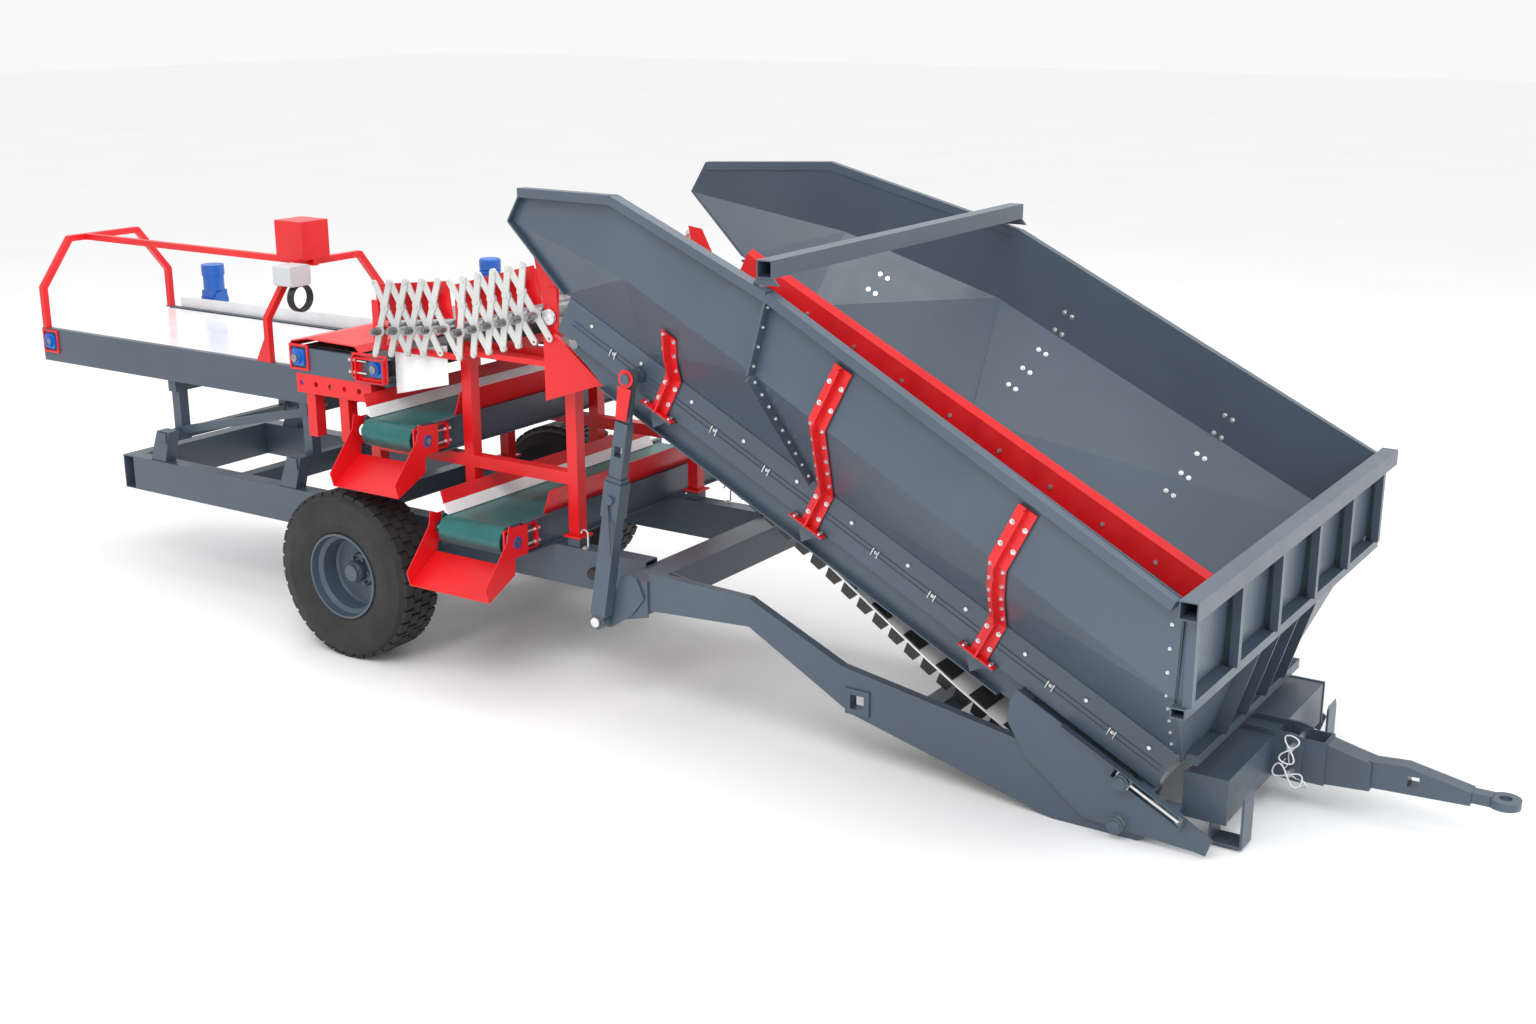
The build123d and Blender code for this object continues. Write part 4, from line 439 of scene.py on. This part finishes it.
# ---- grader trim ----
def curtain(side):
    """A rubber guard under the rollers, with a slight wave."""
    mesh = bmesh.new()
    steps = 24
    low, high = [], []
    for k in range(steps + 1):
        share = k / steps
        x = 0.095 + 0.345 * share
        wave = 0.0035 * math.sin(share * 9.0)
        low.append(at(x, side * (0.588 + 2 * wave), 1.285 + 0.085 * share))
        high.append(at(x, side * (0.588 + wave), 1.500 + 0.060 * share))
    for k in range(steps):
        for offset in (0.0, side * 0.003):
            shift = Vector((0, offset, 0))
            corners = [low[k], low[k + 1], high[k + 1], high[k]]
            mesh.faces.new([mesh.verts.new(c + shift) for c in corners])
    bmesh.ops.remove_doubles(mesh, verts=mesh.verts[:], dist=0.0001)
    edges = [e for e in mesh.edges if e.is_boundary]
    bmesh.ops.bridge_loops(mesh, edges=edges)
    return mesh


def deflector(side):
    """The red guard plate between the grader and the elevator's head."""
    mesh = bmesh.new()
    y = side * 0.616
    outline = [at(1.060, y, 1.690), at(1.137, y, 1.694), at(1.405, y, 1.490), at(1.062, y, 1.372)]
    plate(mesh, outline, Vector((0, side * 0.004, 0)))
    bar = [at(1.137, y, 1.694), at(1.405, y, 1.490), at(1.398, y, 1.481), at(1.130, y, 1.685)]
    plate(mesh, bar, Vector((0, side * 0.018, 0)))
    return mesh


for word, side in SIDES:
    piece("white_guard_" + word, curtain(side), WHITE, "chassis")
    piece("head_deflector_" + word, deflector(side), RED, "chassis", 0.001)
    mesh = bmesh.new()
    rings = [(0.0, 0.014), (0.004, 0.036), (0.012, 0.038), (0.018, 0.034), (0.019, 0.016), (0.023, 0.012)]
    turned(mesh, at(1.100, side * 0.6125, 1.765), Y * side, rings, 32)
    piece("grader_end_bearing_" + word, mesh, ZINC, "chassis")


# ---- chassis trim ----
mesh = bmesh.new()
rings = [(0, 0.020), (0.010, 0.020), (0.012, 0.028), (0.034, 0.030), (0.042, 0.026), (0.044, 0.018)]
turned(mesh, at(1.263, -0.531, 0.555), -Y, rings, 28)
piece("frame_buffer", mesh, BLACK_PAINT, "chassis")

mesh = bmesh.new()
for x, y, z in ((1.184, -0.512, 0.656), (1.300, 0.512, 0.656)):
    base = at(x, y, z)
    bolt(mesh, base, UP, 0.011, 0.010)
    hook = [base + Vector((0.016, 0, 0.010 + 0.02 * k)) for k in range(3)]
    for k in range(9):
        a = math.pi * k / 8
        hook.append(base + Vector((-0.004 + 0.020 * math.cos(a), 0, 0.070 + 0.020 * math.sin(a))))
    tube(mesh, hook, 0.0045, 10)
piece("frame_hooks", mesh, ZINC, "chassis")

# white bows of lock wire on the two hitch pins
for word, height, lean in (("upper", 0.262, 0.2), ("lower", 0.152, -1.2)):
    mesh = bmesh.new()
    loop = []
    for k in range(49):
        a = 2 * math.pi * k / 48
        across, down = 0.062 * math.sin(a), 0.030 * math.sin(2 * a)
        dx = across * math.cos(lean) - down * math.sin(lean)
        dz = across * math.sin(lean) + down * math.cos(lean)
        loop.append(at(4.452 + dz, -0.1245 - 0.004 * math.cos(a), height + dx))
    tube(mesh, loop, 0.0032, 8)
    piece("lock_wire_" + word, mesh, WHITE, "chassis")

# far edge of the table: a white upstand on a bolted red rail
mesh = bmesh.new()
edge = [at(-2.74, 0.4615, 1.285), at(-0.68, 0.4615, 1.285)]
edge += [at(-0.68, 0.4615, 1.385), at(-2.74, 0.4615, 1.360)]
plate(mesh, edge, Vector((0, 0.004, 0)))
piece("table_upstand", mesh, WHITE, "chassis", 0.001)
mesh = bmesh.new()
rail = [at(-2.74, 0.4657, 1.286), at(-0.68, 0.4657, 1.286)]
rail += [at(-0.68, 0.4657, 1.312), at(-2.74, 0.4657, 1.312)]
plate(mesh, rail, Vector((0, 0.005, 0)))
piece("table_rail", mesh, RED, "chassis", 0.001)


# black sleeving on the service cable's fixed coil
COIL = 0.068
mesh = bmesh.new()
for k in range(3):
    centre = at(-0.858 + 0.015 * k, -0.310, 1.634)
    turns = [2 * math.pi * step / 48 for step in range(49)]
    loop = [centre + Vector((0, COIL * math.cos(a), COIL * math.sin(a))) for a in turns]
    tube(mesh, loop, 0.0078, 12)
piece("coil_sleeving", mesh, BLACK_PAINT, "chassis")


def standing_motor(base):
    """A ribbed motor on its gearbox, standing on end."""
    mesh = bmesh.new()
    rings = [(0, 0.040), (0.008, 0.052), (0.085, 0.052), (0.092, 0.060), (0.100, 0.060)]
    for k in range(9):
        low = 0.104 + 0.016 * k
        rings += [(low, 0.054), (low + 0.002, 0.061), (low + 0.009, 0.061), (low + 0.011, 0.054)]
    rings += [(0.250, 0.060), (0.300, 0.060), (0.308, 0.052), (0.310, 0.020)]
    turned(mesh, base, UP, rings, 36)
    return mesh


piece("grader_motor", standing_motor(at(-0.43, 0.715, 1.440)), BLUE, "chassis")


# red link plates at the struts' upper ends
def strut_plate(side):
    """A ring round the pin and a tongue down the tube."""
    mesh = bmesh.new()
    pin = at(1.667, side * 0.8024, 1.578)
    down = Vector((-0.169, 0, -0.9856))
    across = Vector((0.9856, 0, -0.169))
    outer, inner = [], []
    for k in range(24):
        a = 2 * math.pi * k / 24
        ray = down * math.cos(a) + across * math.sin(a)
        outer.append(pin + ray * 0.040)
        inner.append(pin + ray * 0.021)
    window(mesh, outer, inner, Vector((0, side * 0.003, 0)))
    tongue = [pin + down * 0.0405 + across * w for w in (-0.036, 0.036)]
    tongue += [pin + down * 0.19 + across * w for w in (0.030, -0.030)]
    plate(mesh, tongue, Vector((0, side * 0.003, 0)))
    return mesh


for word, side in SIDES:
    piece("strut_link_plate_" + word, strut_plate(side), RED, "strut_upper", 0.0008)


# ---- camera, light and floor ----
def camera():
    """The viewpoint: 33 degrees round from the side, 16 degrees down."""
    data = bpy.data.cameras.new("camera")
    thing = bpy.data.objects.new("camera", data)
    bpy.context.scene.collection.objects.link(thing)
    data.sensor_width = 36.0
    data.lens = 42.77
    data.clip_end = 100.0
    right = Vector((0.83867, 0.54464, 0.0))
    up = Vector((-0.15195, 0.23398, 0.96029))
    back = Vector((0.52301, -0.80537, 0.27899))
    place = Vector((1.123, -6.938, 3.032))
    thing.matrix_world = Matrix((
        (right.x, up.x, back.x, place.x),
        (right.y, up.y, back.y, place.y),
        (right.z, up.z, back.z, place.z),
        (0, 0, 0, 1),
    ))
    bpy.context.scene.camera = thing


def area_light(name, place, target, size, power):
    """A soft rectangular lamp that points at a target."""
    data = bpy.data.lights.new(name, "AREA")
    data.shape = "RECTANGLE"
    data.size, data.size_y = size
    data.energy = power
    thing = bpy.data.objects.new(name, data)
    bpy.context.scene.collection.objects.link(thing)
    thing.location = place
    thing.rotation_euler = (Vector(target) - Vector(place)).to_track_quat("-Z", "Y").to_euler()


def studio():
    """A pale floor, a bright even world and three soft lamps."""
    world = bpy.data.worlds.new("studio")
    bpy.context.scene.world = world
    world.use_nodes = True
    world.node_tree.nodes["Background"].inputs[0].default_value = (1.0, 1.0, 1.0, 1.0)
    world.node_tree.nodes["Background"].inputs[1].default_value = 0.95
    middle = at(1.2, 0, 0.9)
    area_light("key", middle + Vector((2.5, -6.5, 6.5)), middle, (5, 5), 380)
    area_light("fill", middle + Vector((7.5, -1.0, 4.5)), middle, (5, 4), 170)
    area_light("top", middle + Vector((-2.0, 2.5, 8.0)), middle, (8, 6), 330)
    mesh = bpy.data.meshes.new("floor")
    half = 60.0
    corners = [(x, y, GROUND_Z) for x, y in ((-half, -half), (half, -half), (half, half), (-half, half))]
    mesh.from_pydata(corners, [], [(0, 1, 2, 3)])
    floor = bpy.data.objects.new("floor", mesh)
    bpy.context.scene.collection.objects.link(floor)
    made = Nodes("floor")
    stops = [(0.3, (0.95, 0.95, 0.95)), (0.7, (0.97, 0.97, 0.97))]
    tone = made.ramp(made.noise(0.6, 2.0), stops)
    made.link(tone, made.shader.inputs["Base Color"])
    made.set(Roughness=0.85)
    mesh.materials.append(made.material)


camera()
studio()
bpy.context.scene.view_settings.view_transform = "Standard"

bpy.context.view_layer.update()
